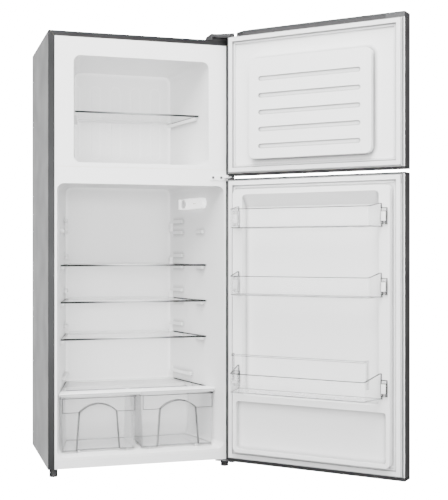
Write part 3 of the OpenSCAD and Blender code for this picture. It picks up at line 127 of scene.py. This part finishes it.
def add_backdrop():
    """White floor and dome that only the camera sees."""
    mesh = bpy.data.meshes.new("backdrop")
    shape = bmesh.new()
    bmesh.ops.create_uvsphere(shape, u_segments=48, v_segments=24, radius=DOME_RADIUS)
    for vertex in shape.verts:
        vertex.co.z = max(vertex.co.z, 0.0)
    bmesh.ops.remove_doubles(shape, verts=shape.verts, dist=0.001)
    shape.to_mesh(mesh)
    shape.free()
    backdrop = bpy.data.objects.new("backdrop", mesh)
    bpy.context.scene.collection.objects.link(backdrop)
    backdrop.visible_diffuse = False
    backdrop.visible_glossy = False
    backdrop.visible_transmission = False
    backdrop.visible_shadow = False
    paint, _, shader = new_material("backdrop_paint", (0.93, 0.93, 0.93), roughness=0.8,
                                    emission_strength=WHITE)
    shader.inputs["Emission Color"].default_value = (1.0, 1.0, 1.0, 1.0)
    mesh.materials.append(paint)


def toward(tree, direction, strength, start, end):
    """Brightness of the world toward a direction: full from the cosine end, nothing below start."""
    place = tree.nodes.new("ShaderNodeTexCoord")
    dot = tree.nodes.new("ShaderNodeVectorMath")
    dot.operation = "DOT_PRODUCT"
    dot.inputs[1].default_value = Vector(direction).normalized()
    tree.links.new(place.outputs["Generated"], dot.inputs[0])
    return spread(tree, dot.outputs["Value"], 0.0, strength, start, end)


def add_studio():
    """Soft light from above in front, a little from the floor, and a pale wall behind."""
    middle = (0.0, 0.0, 0.8)
    world = bpy.data.worlds.new("studio")
    bpy.context.scene.world = world
    world.use_nodes = True
    tree = world.node_tree
    glow = math_node(tree, "ADD", toward(tree, (0.0, 1.0, 0.0), BEHIND, 0.75, 0.98), AMBIENT)
    tree.links.new(glow, tree.nodes["Background"].inputs["Strength"])
    area_light("key", (-0.9, -2.8, 3.9), middle, 2.2, 2.2, KEY_POWER)
    area_light("front", (-0.3, -5.2, 0.9), middle, 4.5, 1.8, FRONT_POWER)
    area_light("left", (-4.2, -3.4, 1.3), middle, 3.0, 2.4, LEFT_POWER)
    area_light("right", (4.0, -3.2, 1.6), middle, 1.6, 2.4, RIGHT_POWER)
    area_light("top", (0.0, -0.9, 4.6), middle, 3.0, 2.0, TOP_POWER)
    area_light("low", (-0.3, -2.6, 0.02), (0.0, -0.2, 0.9), 2.4, 1.2, LOW_POWER)


# ---------- materials ----------

def new_material(name, color, **sockets):
    """A Principled material; sockets are given by their names with _ for spaces."""
    material = bpy.data.materials.new(name)
    material.use_nodes = True
    tree = material.node_tree
    shader = tree.nodes["Principled BSDF"]
    shader.inputs["Base Color"].default_value = (*color, 1.0)
    for key, value in sockets.items():
        shader.inputs[key.replace("_", " ").title().replace("Ior", "IOR")].default_value = value
    return material, tree, shader


def add_noise(tree, scale, detail=2.0):
    """Noise in the object's own metres; scale is in cells per metre."""
    place = tree.nodes.new("ShaderNodeTexCoord")
    noise = tree.nodes.new("ShaderNodeTexNoise")
    noise.inputs["Scale"].default_value = scale
    noise.inputs["Detail"].default_value = detail
    tree.links.new(place.outputs["Object"], noise.inputs["Vector"])
    return noise.outputs["Fac"]


def parts_of(tree, kind):
    """X, Y and Z sockets of the Object place or of the Normal, in the object's own axes."""
    source = tree.nodes.new("ShaderNodeTexCoord")
    parts = tree.nodes.new("ShaderNodeSeparateXYZ")
    tree.links.new(source.outputs[kind], parts.inputs["Vector"])
    return parts.outputs


def spread(tree, source, low, high, start=0.3, end=0.7):
    """Maps start..end of a source to low..high."""
    node = tree.nodes.new("ShaderNodeMapRange")
    node.inputs["From Min"].default_value = start
    node.inputs["From Max"].default_value = end
    node.inputs["To Min"].default_value = low
    node.inputs["To Max"].default_value = high
    tree.links.new(source, node.inputs["Value"])
    return node.outputs["Result"]


def ramp(tree, source, low, high, start=0.3, end=0.7):
    """Colours from low to high as the source goes from start to end."""
    node = tree.nodes.new("ShaderNodeValToRGB")
    node.color_ramp.elements[0].position = start
    node.color_ramp.elements[0].color = (*low, 1.0)
    node.color_ramp.elements[1].position = end
    node.color_ramp.elements[1].color = (*high, 1.0)
    tree.links.new(source, node.inputs["Fac"])
    return node.outputs["Color"]


def add_bump(tree, shader, height, strength, distance):
    """Bump of so many metres on the shader."""
    node = tree.nodes.new("ShaderNodeBump")
    node.inputs["Strength"].default_value = strength
    node.inputs["Distance"].default_value = distance
    tree.links.new(height, node.inputs["Height"])
    tree.links.new(node.outputs["Normal"], shader.inputs["Normal"])


def shaded(color, share):
    return tuple(channel * share for channel in color)


def blended(tree, share, first, second):
    """Colour mix of first and second, which are colours or sockets."""
    node = tree.nodes.new("ShaderNodeMix")
    node.data_type = "RGBA"
    tree.links.new(share, node.inputs["Factor"])
    for key, value in (("A", first), ("B", second)):
        socket = next(i for i in node.inputs if i.name == key and i.type == "RGBA")
        if isinstance(value, tuple):
            socket.default_value = (*value, 1.0)
        else:
            tree.links.new(value, socket)
    return next(o for o in node.outputs if o.type == "RGBA")


def blended_value(tree, share, first, second):
    """first where share is 0, second where it is 1."""
    return math_node(tree, "ADD", math_node(tree, "MULTIPLY", share, second),
                     math_node(tree, "MULTIPLY", math_node(tree, "SUBTRACT", 1.0, share), first))


def shade_mask(tree):
    """Mask of painted shade: 1 in the open, falling toward 0 in grooves and inner corners."""
    node = tree.nodes.new("ShaderNodeAmbientOcclusion")
    node.samples = 6
    node.only_local = True
    node.inputs["Distance"].default_value = SHADE_REACH
    return spread(tree, node.outputs["AO"], 0.0, 1.0, 0.55, 0.985)


def mottled(name, color, contrast, scale, rough, grain, grain_size, crease_shade=0.0, highlight_from=None, **sockets):
    """A finish with slow colour changes, uneven gloss and a fine grain.
    Painted shade darkens its inner corners and grooves by the share creases, but behind y = highlight_from a
    painted highlight lightens them instead."""
    material, tree, shader = new_material(name, color, **sockets)
    tone = ramp(tree, add_noise(tree, scale, 3.0), shaded(color, 1.0 - contrast), color)
    # painted shade in inner corners and grooves
    if crease_shade:
        deep = shaded(color, 1.0 - crease_shade)
        if highlight_from is not None:
            # painted highlight on the corners behind highlight_from
            behind = math_node(tree, "GREATER_THAN", parts_of(tree, "Object")["Y"], highlight_from)
            deep = blended(tree, behind, deep, shaded(color, CORNER_HIGHLIGHT))
        tone = blended(tree, shade_mask(tree), deep, tone)
    tree.links.new(tone, shader.inputs["Base Color"])
    uneven = add_noise(tree, scale * 6.0, 4.0)
    tree.links.new(spread(tree, uneven, *rough), shader.inputs["Roughness"])
    add_bump(tree, shader, add_noise(tree, 1.0 / grain_size, 2.0), 0.35, grain)
    return material


def white_moulding(name, crease_shade, highlight_from=None):
    """White injection moulded or drawn plastic, with painted shade in its inner corners and grooves."""
    return mottled(name, (0.80, 0.80, 0.80), 0.015, 5.0, (0.28, 0.36), 0.00005, 0.0012, crease_shade, highlight_from)


def dull_black(name):
    """Black paint without much shine."""
    return mottled(name, (0.03, 0.03, 0.031), 0.1, 30.0, (0.4, 0.5), 0.0001, 0.001, specular_ior_level=0.2)


def painted_steel(name, color, front):
    """Silver grey coil coating of metallic flakes, with painted shade on the faces turned forward, the folded
    front edges: darker there by the share front.
    """
    material, tree, shader = new_material(name, color, metallic=0.9, coat_weight=0.02)
    shader.inputs["Coat Roughness"].default_value = 0.3
    flakes = ramp(tree, add_noise(tree, 2600.0, 1.0), shaded(color, 0.9), shaded(color, 1.08))
    turn = parts_of(tree, "Normal")
    # painted shade on the forward-facing faces, darker by the share front
    front_shade_mask = spread(tree, math_node(tree, "MULTIPLY", turn["Y"], -1.0), 0.0, 1.0, 0.3, 0.6)
    tree.links.new(blended(tree, front_shade_mask, flakes, shaded(color, front)), shader.inputs["Base Color"])
    tree.links.new(spread(tree, add_noise(tree, 9.0, 3.0), 0.36, 0.44), shader.inputs["Roughness"])
    add_bump(tree, shader, add_noise(tree, 420.0, 2.0), 0.15, 0.00008)
    return material


def zinc_steel():
    """Galvanised sheet with its spangle."""
    color = (0.55, 0.56, 0.575)
    material, tree, shader = new_material("zinc_steel", color, metallic=0.9)
    place = tree.nodes.new("ShaderNodeTexCoord")
    cells = tree.nodes.new("ShaderNodeTexVoronoi")
    cells.inputs["Scale"].default_value = 90.0
    tree.links.new(place.outputs["Object"], cells.inputs["Vector"])
    tone = tree.nodes.new("ShaderNodeSeparateColor")
    tree.links.new(cells.outputs["Color"], tone.inputs["Color"])
    tree.links.new(ramp(tree, tone.outputs["Red"], shaded(color, 0.82), shaded(color, 1.08), 0.0, 1.0),
                   shader.inputs["Base Color"])
    tree.links.new(spread(tree, tone.outputs["Green"], 0.32, 0.5, 0.0, 1.0), shader.inputs["Roughness"])
    add_bump(tree, shader, add_noise(tree, 700.0, 2.0), 0.2, 0.00005)
    return material


def shelf_glass(name, rail_y):
    """Clear sheet whose cut edges carry a painted reflection, dark toward their ends and palest in their
    middle, and a white rail behind rail_y.
    """
    face, rail = (0.86, 0.87, 0.87), (0.84, 0.84, 0.84)
    material, tree, shader = new_material(name, face, roughness=0.04, IOR=1.5)
    spot, turn = parts_of(tree, "Object"), parts_of(tree, "Normal")
    flat = spread(tree, math_node(tree, "ABSOLUTE", turn["Z"]), 0.0, 1.0, 0.6, 0.9)
    # painted reflection on the cut edges: palest in the middle, dark toward the ends
    edge = ramp(tree, math_node(tree, "ABSOLUTE", spot["X"]), (0.30, 0.31, 0.31),
                (0.012, 0.013, 0.013), 0.03, 0.15)
    tree.links.new(spread(tree, flat, 0.05, 0.5, 0.0, 1.0), shader.inputs["Specular IOR Level"])
    behind = math_node(tree, "GREATER_THAN", spot["Y"], rail_y)
    tree.links.new(blended(tree, behind, blended(tree, flat, edge, face), rail), shader.inputs["Base Color"])
    sheet_alpha = spread(tree, flat, 1.0, 0.07, 0.0, 1.0)
    tree.links.new(blended_value(tree, behind, sheet_alpha, 0.5), shader.inputs["Alpha"])
    return material


def clear_plastic():
    """Clear polystyrene: see-through straight on, greyer with painted shade where the wall turns away."""
    material, tree, shader = new_material("clear_plastic", (0.86, 0.865, 0.87), roughness=0.08, IOR=1.58)
    turn = tree.nodes.new("ShaderNodeLayerWeight")
    turn.inputs["Blend"].default_value = 0.35
    tree.links.new(spread(tree, turn.outputs["Facing"], 0.1, 0.6, 0.25, 1.0), shader.inputs["Alpha"])
    # painted shade: the base colour greys where the wall turns away
    tree.links.new(ramp(tree, turn.outputs["Facing"], (0.88, 0.885, 0.89), (0.3, 0.303, 0.307), 0.35, 0.95),
                   shader.inputs["Base Color"])
    add_bump(tree, shader, add_noise(tree, 60.0, 2.0), 0.1, 0.0003)
    return material


def edge_shade_paint():
    """Painted shade of the clear plastic seen along its edges: grey and nearly opaque."""
    material, tree, shader = new_material("edge_shade_paint", (0.035, 0.0355, 0.036), roughness=0.2,
                                          specular_ior_level=0.15)
    uneven = add_noise(tree, 40.0, 2.0)
    tree.links.new(spread(tree, uneven, 0.6, 0.95), shader.inputs["Alpha"])
    tree.links.new(spread(tree, uneven, 0.1, 0.25), shader.inputs["Roughness"])
    return material


def dark_ended(name, first, second, border):
    """Enamel painted from first to second at x = border; on the middle hinge the second stands in for the
    dark pin bushing there and for painted shade of the bracket's shadow.
    """
    material, tree, shader = new_material(name, first, roughness=0.35)
    # beyond the border: dark for the pin bushing, and painted shade
    beyond = math_node(tree, "GREATER_THAN", parts_of(tree, "Object")["X"], border)
    worn = ramp(tree, add_noise(tree, 30.0, 3.0), shaded(first, 0.97), first)
    tree.links.new(blended(tree, beyond, worn, second), shader.inputs["Base Color"])
    return material


def trim_shaded_by_drawers():
    """White trim whose front below its top edge is painted grey: painted shade for the drawers' clear plastic
    it is seen through.
    """
    material, tree, shader = new_material("trim_plastic", (0.84, 0.84, 0.84), roughness=0.3)
    spot = parts_of(tree, "Object")
    low = spread(tree, spot["Z"], 1.0, 0.0, TRIM_HIGH.z - 0.005, TRIM_HIGH.z - 0.003)
    front_shade_mask = spread(tree, spot["Y"], 1.0, 0.0, TRIM_LOW.y + 0.001, TRIM_LOW.y + 0.003)
    worn = ramp(tree, add_noise(tree, 12.0, 3.0), (0.83, 0.83, 0.83), (0.85, 0.85, 0.85))
    # painted shade on the trim's front below its top edge
    tree.links.new(blended(tree, math_node(tree, "MULTIPLY", low, front_shade_mask), worn, (0.48, 0.483, 0.486)),
                   shader.inputs["Base Color"])
    return material


def lamp_glass():
    """Milky glass of the bulb."""
    material, tree, shader = new_material("lamp_glass", (0.95, 0.93, 0.88), roughness=0.25, alpha=0.8)
    tree.links.new(spread(tree, add_noise(tree, 120.0), 0.2, 0.3), shader.inputs["Roughness"])
    return material


def reflection_edge():
    """Ground glass edge with a painted reflection: dark toward its ends, white in its middle."""
    material, tree, shader = new_material("reflection_edge", (0.03, 0.03, 0.03), roughness=0.25,
                                          specular_ior_level=0.1)
    out = math_node(tree, "ABSOLUTE", math_node(tree, "ADD", parts_of(tree, "Object")["X"], 0.02))
    # painted reflection: white in the edge's middle, dark toward its ends
    tone = ramp(tree, out, (0.95, 0.95, 0.95), (0.03, 0.031, 0.031), 0.04, 0.17)
    tree.links.new(tone, shader.inputs["Base Color"])
    add_bump(tree, shader, add_noise(tree, 300.0, 2.0), 0.1, 0.0001)
    return material


def dark_edge():
    """Dark edge of the freezer's shelf, and the painted shadow line along the fridge door's gasket."""
    material, tree, shader = new_material("dark_edge", (0.05, 0.05, 0.05), roughness=0.3,
                                          specular_ior_level=0.1)
    tree.links.new(ramp(tree, add_noise(tree, 25.0, 2.0), (0.035, 0.035, 0.036), (0.07, 0.07, 0.071)),
                   shader.inputs["Base Color"])
    return material


# The finish of each material slot of the record
MATERIALS = {
    "grey_steel": painted_steel("grey_steel", (0.2, 0.202, 0.207), 0.13),
    "zinc_steel": zinc_steel(),
    "light_steel": mottled("light_steel", (0.76, 0.76, 0.765), 0.03, 6.0, (0.3, 0.4), 0.00006, 0.002),
    # The creases of white_enamel, seal_rubber and white_plastic take painted shade.
    "white_enamel": mottled("white_enamel", (0.82, 0.82, 0.82), 0.02, 12.0, (0.2, 0.3), 0.00004, 0.002,
                            crease_shade=0.3),
    "white_plastic": white_moulding("white_plastic", 0.45),
    "dark_plastic": mottled("dark_plastic", (0.045, 0.046, 0.048), 0.15, 14.0, (0.42, 0.55), 0.00012, 0.0009),
    "clear_plastic": clear_plastic(),
    "shelf_glass": shelf_glass("shelf_glass", SHELF_RAIL_Y),
    "lamp_glass": lamp_glass(),
    "seal_rubber": mottled("seal_rubber", (0.74, 0.74, 0.745), 0.03, 10.0, (0.45, 0.6), 0.00008, 0.001,
                           crease_shade=0.5),
    "black_rubber": mottled("black_rubber", (0.022, 0.022, 0.023), 0.25, 25.0, (0.6, 0.8), 0.00015,
                            0.0012),
    "foam": mottled("foam", (0.72, 0.62, 0.36), 0.15, 60.0, (0.85, 0.95), 0.0004, 0.003),
    "aluminium": mottled("aluminium", (0.7, 0.71, 0.72), 0.06, 20.0, (0.3, 0.42), 0.00005, 0.001,
                         metallic=1.0),
    "black_enamel": mottled("black_enamel", (0.014, 0.014, 0.016), 0.2, 18.0, (0.18, 0.32), 0.0001, 0.0015),
    "copper": mottled("copper", (0.75, 0.36, 0.2), 0.25, 30.0, (0.25, 0.45), 0.00005, 0.001, metallic=1.0),
}

# Nodes whose finish differs from that of their slot
FINISHES = {
    # The door panels take a slight painted shade on their forward-facing faces.
    "freezer_door_panel": painted_steel("door_steel", (0.22, 0.221, 0.224), 0.9),
    "freezer_door_top_cap": mottled("cap_plastic", (0.035, 0.035, 0.036), 0.1, 14.0, (0.5, 0.6), 0.0001,
                                    0.001, specular_ior_level=0.2),
    # The lamp housing glows with painted light though it is no lamp, and its creases take painted shade.
    "lamp_housing": mottled("lamp_housing_glow", (0.93, 0.93, 0.93), 0.01, 9.0, (0.25, 0.35), 0.00005, 0.001,
                            crease_shade=0.5, emission_strength=1.3),
    # The liners' creases take painted shade, and their rear corners a painted highlight.
    "fridge_liner": white_moulding("fridge_lining", 0.4, FRIDGE_BACK_Y),
    "freezer_liner": white_moulding("freezer_lining", 0.4, FREEZER_BACK_Y),
    # Painted shade darkens the grooves and corners of the freezer door's liner.
    "freezer_door_liner": white_moulding("freezer_door_lining", 0.75),
    "freezer_door_bushings": dull_black("bushing"),
    "top_hinge": dull_black("hinge_steel"),
    # The bracket's end is painted dark: partly the pin bushing, partly painted shade.
    "middle_hinge": dark_ended("bracket", (0.86, 0.86, 0.86), (0.03, 0.03, 0.031), BRACKET_BORDER_X),
    "crisper_trim": trim_shaded_by_drawers(),
    "screws": mottled("screw_steel", (0.09, 0.09, 0.092), 0.1, 40.0, (0.35, 0.45), 0.00005, 0.001,
                      metallic=0.7),
    "freezer_shelf": shelf_glass("freezer_shelf_glass", FREEZER_SHELF_RAIL_Y),
}
FINISHES["fridge_door_panel"] = FINISHES["freezer_door_panel"]
FINISHES["fridge_door_bushings"] = FINISHES["freezer_door_bushings"]
for cap in ("hinge_cover", "freezer_door_bottom_cap", "fridge_door_top_cap", "fridge_door_bottom_cap"):
    FINISHES[cap] = FINISHES["freezer_door_top_cap"]
# painted edge shade, painted edge reflection, and a dark edge that also draws the painted gasket shadow
EDGE_SHADE_PAINT, REFLECTION_EDGE, DARK = edge_shade_paint(), reflection_edge(), dark_edge()

# Rounding of each node's sharp edges, in metres, where it isn't USUAL_ROUNDING
ROUNDING = {
    "fridge_liner": 0.0015, "freezer_liner": 0.0015, "fridge_door_liner": 0.003, "freezer_door_liner": 0.003,
    "crisper_trim": 0.0015, "lamp_housing": 0.002, "hinge_cover": 0.0015,
}
UNROUNDED = ("condenser_tube", "condenser_wires", "refrigerant_tubes", "evaporator_plates", "cabinet_foam",
             "freezer_door_foam", "fridge_door_foam", "lamp_bulb")


def round_edges(node, width):
    """Rounds the node's sharp edges with modifiers; its mesh stays as it is."""
    node.modifiers.new("weld", "WELD").merge_threshold = 0.00002
    flat = node.modifiers.new("flat", "DECIMATE")
    flat.decimate_type = "DISSOLVE"
    flat.angle_limit = math.radians(0.5)
    bevel = node.modifiers.new("bevel", "BEVEL")
    bevel.width = width
    bevel.segments = 3
    bevel.limit_method = "ANGLE"
    bevel.angle_limit = math.radians(35.0)
    bevel.use_clamp_overlap = True
    bevel.harden_normals = True


def dress_nodes():
    """Each CAD node takes its slot's finish and a small rounding of its sharp edges."""
    slots = {part["node"]: part["material_slot"] for part in frame["record"]["subparts"]}
    for name, node in NODES.items():
        material = FINISHES.get(name, MATERIALS[slots[name]])
        if not node.material_slots:
            node.data.materials.append(material)
        for index in range(len(node.material_slots)):
            node.material_slots[index].material = material
        if name not in UNROUNDED:
            round_edges(node, ROUNDING.get(name, USUAL_ROUNDING))


# ---------- detail pieces ----------

def sharp_paths(node, least_angle, keep):
    """Chains of points along a node's sharp edges, of those that keep(middle) lets through."""
    shape = bmesh.new()
    shape.from_mesh(node.data)
    shape.transform(node.matrix_world)
    bmesh.ops.remove_doubles(shape, verts=shape.verts, dist=0.00002)
    links = {}
    for edge in shape.edges:
        if len(edge.link_faces) != 2 or edge.calc_face_angle() < least_angle:
            continue
        first, second = edge.verts
        if keep((first.co + second.co) / 2.0):
            links.setdefault(first.index, set()).add(second.index)
            links.setdefault(second.index, set()).add(first.index)
    shape.verts.ensure_lookup_table()
    places = {index: shape.verts[index].co.copy() for index in links}
    shape.free()
    paths = []
    # ends and junctions first, so that closed loops come last
    for start in sorted(links, key=lambda index: (len(links[index]) == 2, index)):
        while links[start]:
            path = [start]
            while links[path[-1]]:
                follower = min(links[path[-1]])
                links[path[-1]].discard(follower)
                links[follower].discard(path[-1])
                path.append(follower)
                if len(links[follower]) != 1:
                    break
            paths.append([places[index] for index in path])
    return paths


def add_rods(name, lines, radius, body, material, roundness=2, caps=True):
    """Thin rods along chains of points."""
    data = bpy.data.curves.new(name, "CURVE")
    data.dimensions = "3D"
    data.bevel_depth = radius
    data.bevel_resolution = roundness
    data.use_fill_caps = caps
    for line in lines:
        spline = data.splines.new("POLY")
        spline.points.add(len(line) - 1)
        for point, place in zip(spline.points, line):
            point.co = (*place, 1.0)
    rods = bpy.data.objects.new(name, data)
    bpy.context.scene.collection.objects.link(rods)
    data.materials.append(material)
    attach(rods, body)


def held_inside(place, margin):
    """The nearest place at least margin inside the CAD model's box."""
    return [min(max(c, low + margin), high - margin) for c, low, high in zip(place, *CAD_BOX)]


def add_edge_shade(node_name, body, radius, keep=lambda middle: True):
    """Thin dark rods of painted shade along a clear piece's edges, where such plastic looks darkest."""
    paths = sharp_paths(NODES[node_name], math.radians(35.0), keep)
    lines = [[held_inside(place, radius) for place in path] for path in paths]
    add_rods(node_name + "_edge_shade", lines, radius, body, EDGE_SHADE_PAINT, 1, False)


def add_piece(name, points, faces, body, material, bevel):
    """A mesh piece that rides a body, with its edges rounded."""
    mesh = bpy.data.meshes.new(name)
    mesh.from_pydata([tuple(point) for point in points], [], faces)
    mesh.materials.append(material)
    piece = bpy.data.objects.new(name, mesh)
    bpy.context.scene.collection.objects.link(piece)
    if bevel:
        rounding = piece.modifiers.new("bevel", "BEVEL")
        rounding.width = bevel
        rounding.segments = 2
    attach(piece, body)


def spots_of(node_name):
    """Places of a node's vertices at rest."""
    node = NODES[node_name]
    return [node.matrix_world @ vertex.co for vertex in node.data.vertices]


def door_span(node_name):
    """Lowest and highest place of a door's node along the door, out of its inner face and up."""
    spots = [(spot.dot(ALONG), spot.dot(INWARD), spot.z) for spot in spots_of(node_name)]
    return [min(c) for c in zip(*spots)], [max(c) for c in zip(*spots)]


def on_door(along, inward, z):
    """The place so far along a door, out of its inner face and up, as door_span gives them."""
    return ALONG * along + INWARD * inward + Vector((0.0, 0.0, z))


def door_edge_face(liner, free_edge):
    """How far out the liner's flange lies at the door's free edge."""
    return max(spot.dot(INWARD) for spot in spots_of(liner) if spot.dot(ALONG) > free_edge - 0.012)


def add_door_lip(door, bottom, top):
    """The steel's folded return on a door's inner face: a dark rim, so wide at its bottom and its top."""
    hinge_side, free_side = 0.007, 0.006     # how wide the rim is on either side
    inset, free_inset = 0.0006, 0.0032       # from the panel's edges to the rim
    sunk, proud = 0.0008, 0.0005             # how deep the rim sits in the face, and how far it stands out
    low, high = door_span(door + "_panel")
    face = max(high[1], door_edge_face(door + "_liner", high[0]))
    outer = (low[0] + inset, high[0] - free_inset, low[2] + inset, high[2] - inset)
    inner = (outer[0] + hinge_side, outer[1] - free_side, outer[2] + bottom, outer[3] - top)
    points = []
    for level in (face - sunk, face + proud):
        for left, right, below, above in (outer, inner):
            corners = ((left, below), (right, below), (right, above), (left, above))
            points += [on_door(along, level, z) for along, z in corners]
    # each level holds the outer ring's four corners, then the inner ring's
    faces = []
    for i in range(4):
        j = (i + 1) % 4
        faces += [(i, j, 4 + j, 4 + i), (8 + i, 12 + i, 12 + j, 8 + j), (i, 8 + i, 8 + j, j),
                  (4 + i, 4 + j, 12 + j, 12 + i)]
    add_piece(door + "_lip", points, faces, door, FINISHES[door + "_panel"], 0.0002)


def add_prism(name, outline, low_z, high_z, body, material):
    """An upright prism on a door; its outline is given along the door and out of its inner face."""
    count = len(outline)
    points = [on_door(a, n, z) for z in (low_z, high_z) for a, n in outline]
    faces = [tuple(reversed(range(count))), tuple(range(count, 2 * count))]
    faces += [(i, (i + 1) % count, count + (i + 1) % count, count + i) for i in range(count)]
    add_piece(name, points, faces, body, material, 0.0008)


def add_foot_boot(foot):
    """Moulded rubber glide round a foot's plate: chamfered, with two grooves."""
    radius, groove, tip, steps = 0.0142, 0.0005, 0.0004, 40
    low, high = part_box(foot)
    centre = (low + high) / 2.0
    top = min(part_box("base_plate")[0].z - 0.0008, 0.0305)
    profile = [(tip, 0.0002), (0.0125, 0.0002), (radius, 0.002)]
    for z in (0.011, 0.020):
        profile += [(radius, z - 0.001), (radius - groove, z), (radius, z + 0.001)]
    profile += [(0.0140, top - 0.001), (0.0130, top), (tip, top)]
    points, faces = [], []
    for reach, z in profile:
        for k in range(steps):
            angle = 2.0 * math.pi * k / steps
            points.append((centre.x + reach * math.cos(angle), centre.y + reach * math.sin(angle), z))
    for row in range(len(profile) - 1):
        for k in range(steps):
            a, b = row * steps + k, row * steps + (k + 1) % steps
            faces.append((a, b, b + steps, a + steps))
    faces += [tuple(reversed(range(steps))), tuple(range((len(profile) - 1) * steps, len(profile) * steps))]
    add_piece(foot + "_boot", points, faces, foot, MATERIALS["black_rubber"], 0.0)


def shelf_glass_middle(shelf):
    """Height of the middle of a shelf's front edge."""
    spots = spots_of(shelf)
    front = min(spot.y for spot in spots)
    heights = [spot.z for spot in spots if spot.y < front + 0.001]
    return (min(heights) + max(heights)) / 2.0


def add_shelf_edge(shelf, radius, material):
    """A glass shelf's front edge, ground round."""
    low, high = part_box(shelf)
    y, z = low.y + radius, shelf_glass_middle(shelf)
    ends = [(low.x + 0.004, y, z), (high.x - 0.004, y, z)]
    add_rods(shelf + "_edge", [ends], radius, shelf, material)


def add_bin_edge_shade(bin_name):
    """Rods of painted shade on a bin's edges, but not on those of its floor's underside."""
    floor_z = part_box(bin_name)[0].z + 0.0013
    add_edge_shade(bin_name, bin_name, 0.0012, lambda middle: middle.z > floor_z)


def add_top_cap_recess():
    """A block in the top cap's notch, as large as leaves the hinge cover clear when the door turns."""
    low, high = door_span("freezer_door_top_cap")
    pin_along, pin_inward = low[0] + 0.009, high[1] - 0.019
    outline = [(0.013, -0.034), (0.078, -0.034), (0.078, 0.0185), (0.052, 0.0185), (0.015, -0.001)]
    outline = [(pin_along + along, pin_inward + inward) for along, inward in outline]
    add_prism("top_cap_recess", outline, low[2] + 0.001, high[2] - 0.0003, "freezer_door",
              FINISHES["freezer_door_top_cap"])


def add_gasket_shadow():
    """A dark rod of painted shadow between the fridge door's gasket and its liner, round the gasket's top."""
    radius, drop = 0.0008, 0.03
    low, high = door_span("fridge_door_gasket")
    level, top = high[1] - 0.0024, high[2] + radius
    left, right = low[0] - radius, high[0] + radius
    line = [on_door(along, level, z) for along, z in
            ((left, high[2] - drop), (left, top), (right, top), (right, high[2] - drop))]
    add_rods("gasket_shadow", [line], radius, "fridge_door", DARK)


def add_crisper_outline(drawer):
    """Painted shade along a drawer's front edge, as it would be seen before the trim."""
    low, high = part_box(drawer)
    left, right, y = low.x + 0.002, high.x - 0.002, TRIM_LOW.y - 0.0002
    bottom, top = TRIM_LOW.z + 0.001, TRIM_HIGH.z - 0.0045
    line = [(left, y, bottom), (left, y, top), (right, y, top), (right, y, bottom)]
    add_rods(drawer + "_outline", [line], 0.0006, "crisper_cover", EDGE_SHADE_PAINT)


# ---------- the scene ----------

add_camera()
add_backdrop()
add_studio()
dress_nodes()
DRAWERS = ("left_crisper", "right_crisper")
# dark rods of painted shade along the clear pieces' edges
for drawer in DRAWERS:
    add_edge_shade(drawer, drawer, 0.0009)
for bin_name in ("upper_bin", "middle_bin", "bottle_bin"):
    add_bin_edge_shade(bin_name)
add_edge_shade("bottle_guard", "bottle_bin", 0.0006)
# The fridge shelves' front edges carry a painted reflection.
for shelf in ("upper_shelf", "middle_shelf", "lower_shelf"):
    add_shelf_edge(shelf, 0.0034, REFLECTION_EDGE)
add_shelf_edge("freezer_shelf", 0.0032, DARK)
for foot in ("left_foot", "right_foot"):
    add_foot_boot(foot)
add_door_lip("freezer_door", 0.003, 0.001)
add_door_lip("fridge_door", 0.008, 0.004)
add_top_cap_recess()
add_gasket_shadow()
for drawer in DRAWERS:
    add_crisper_outline(drawer)
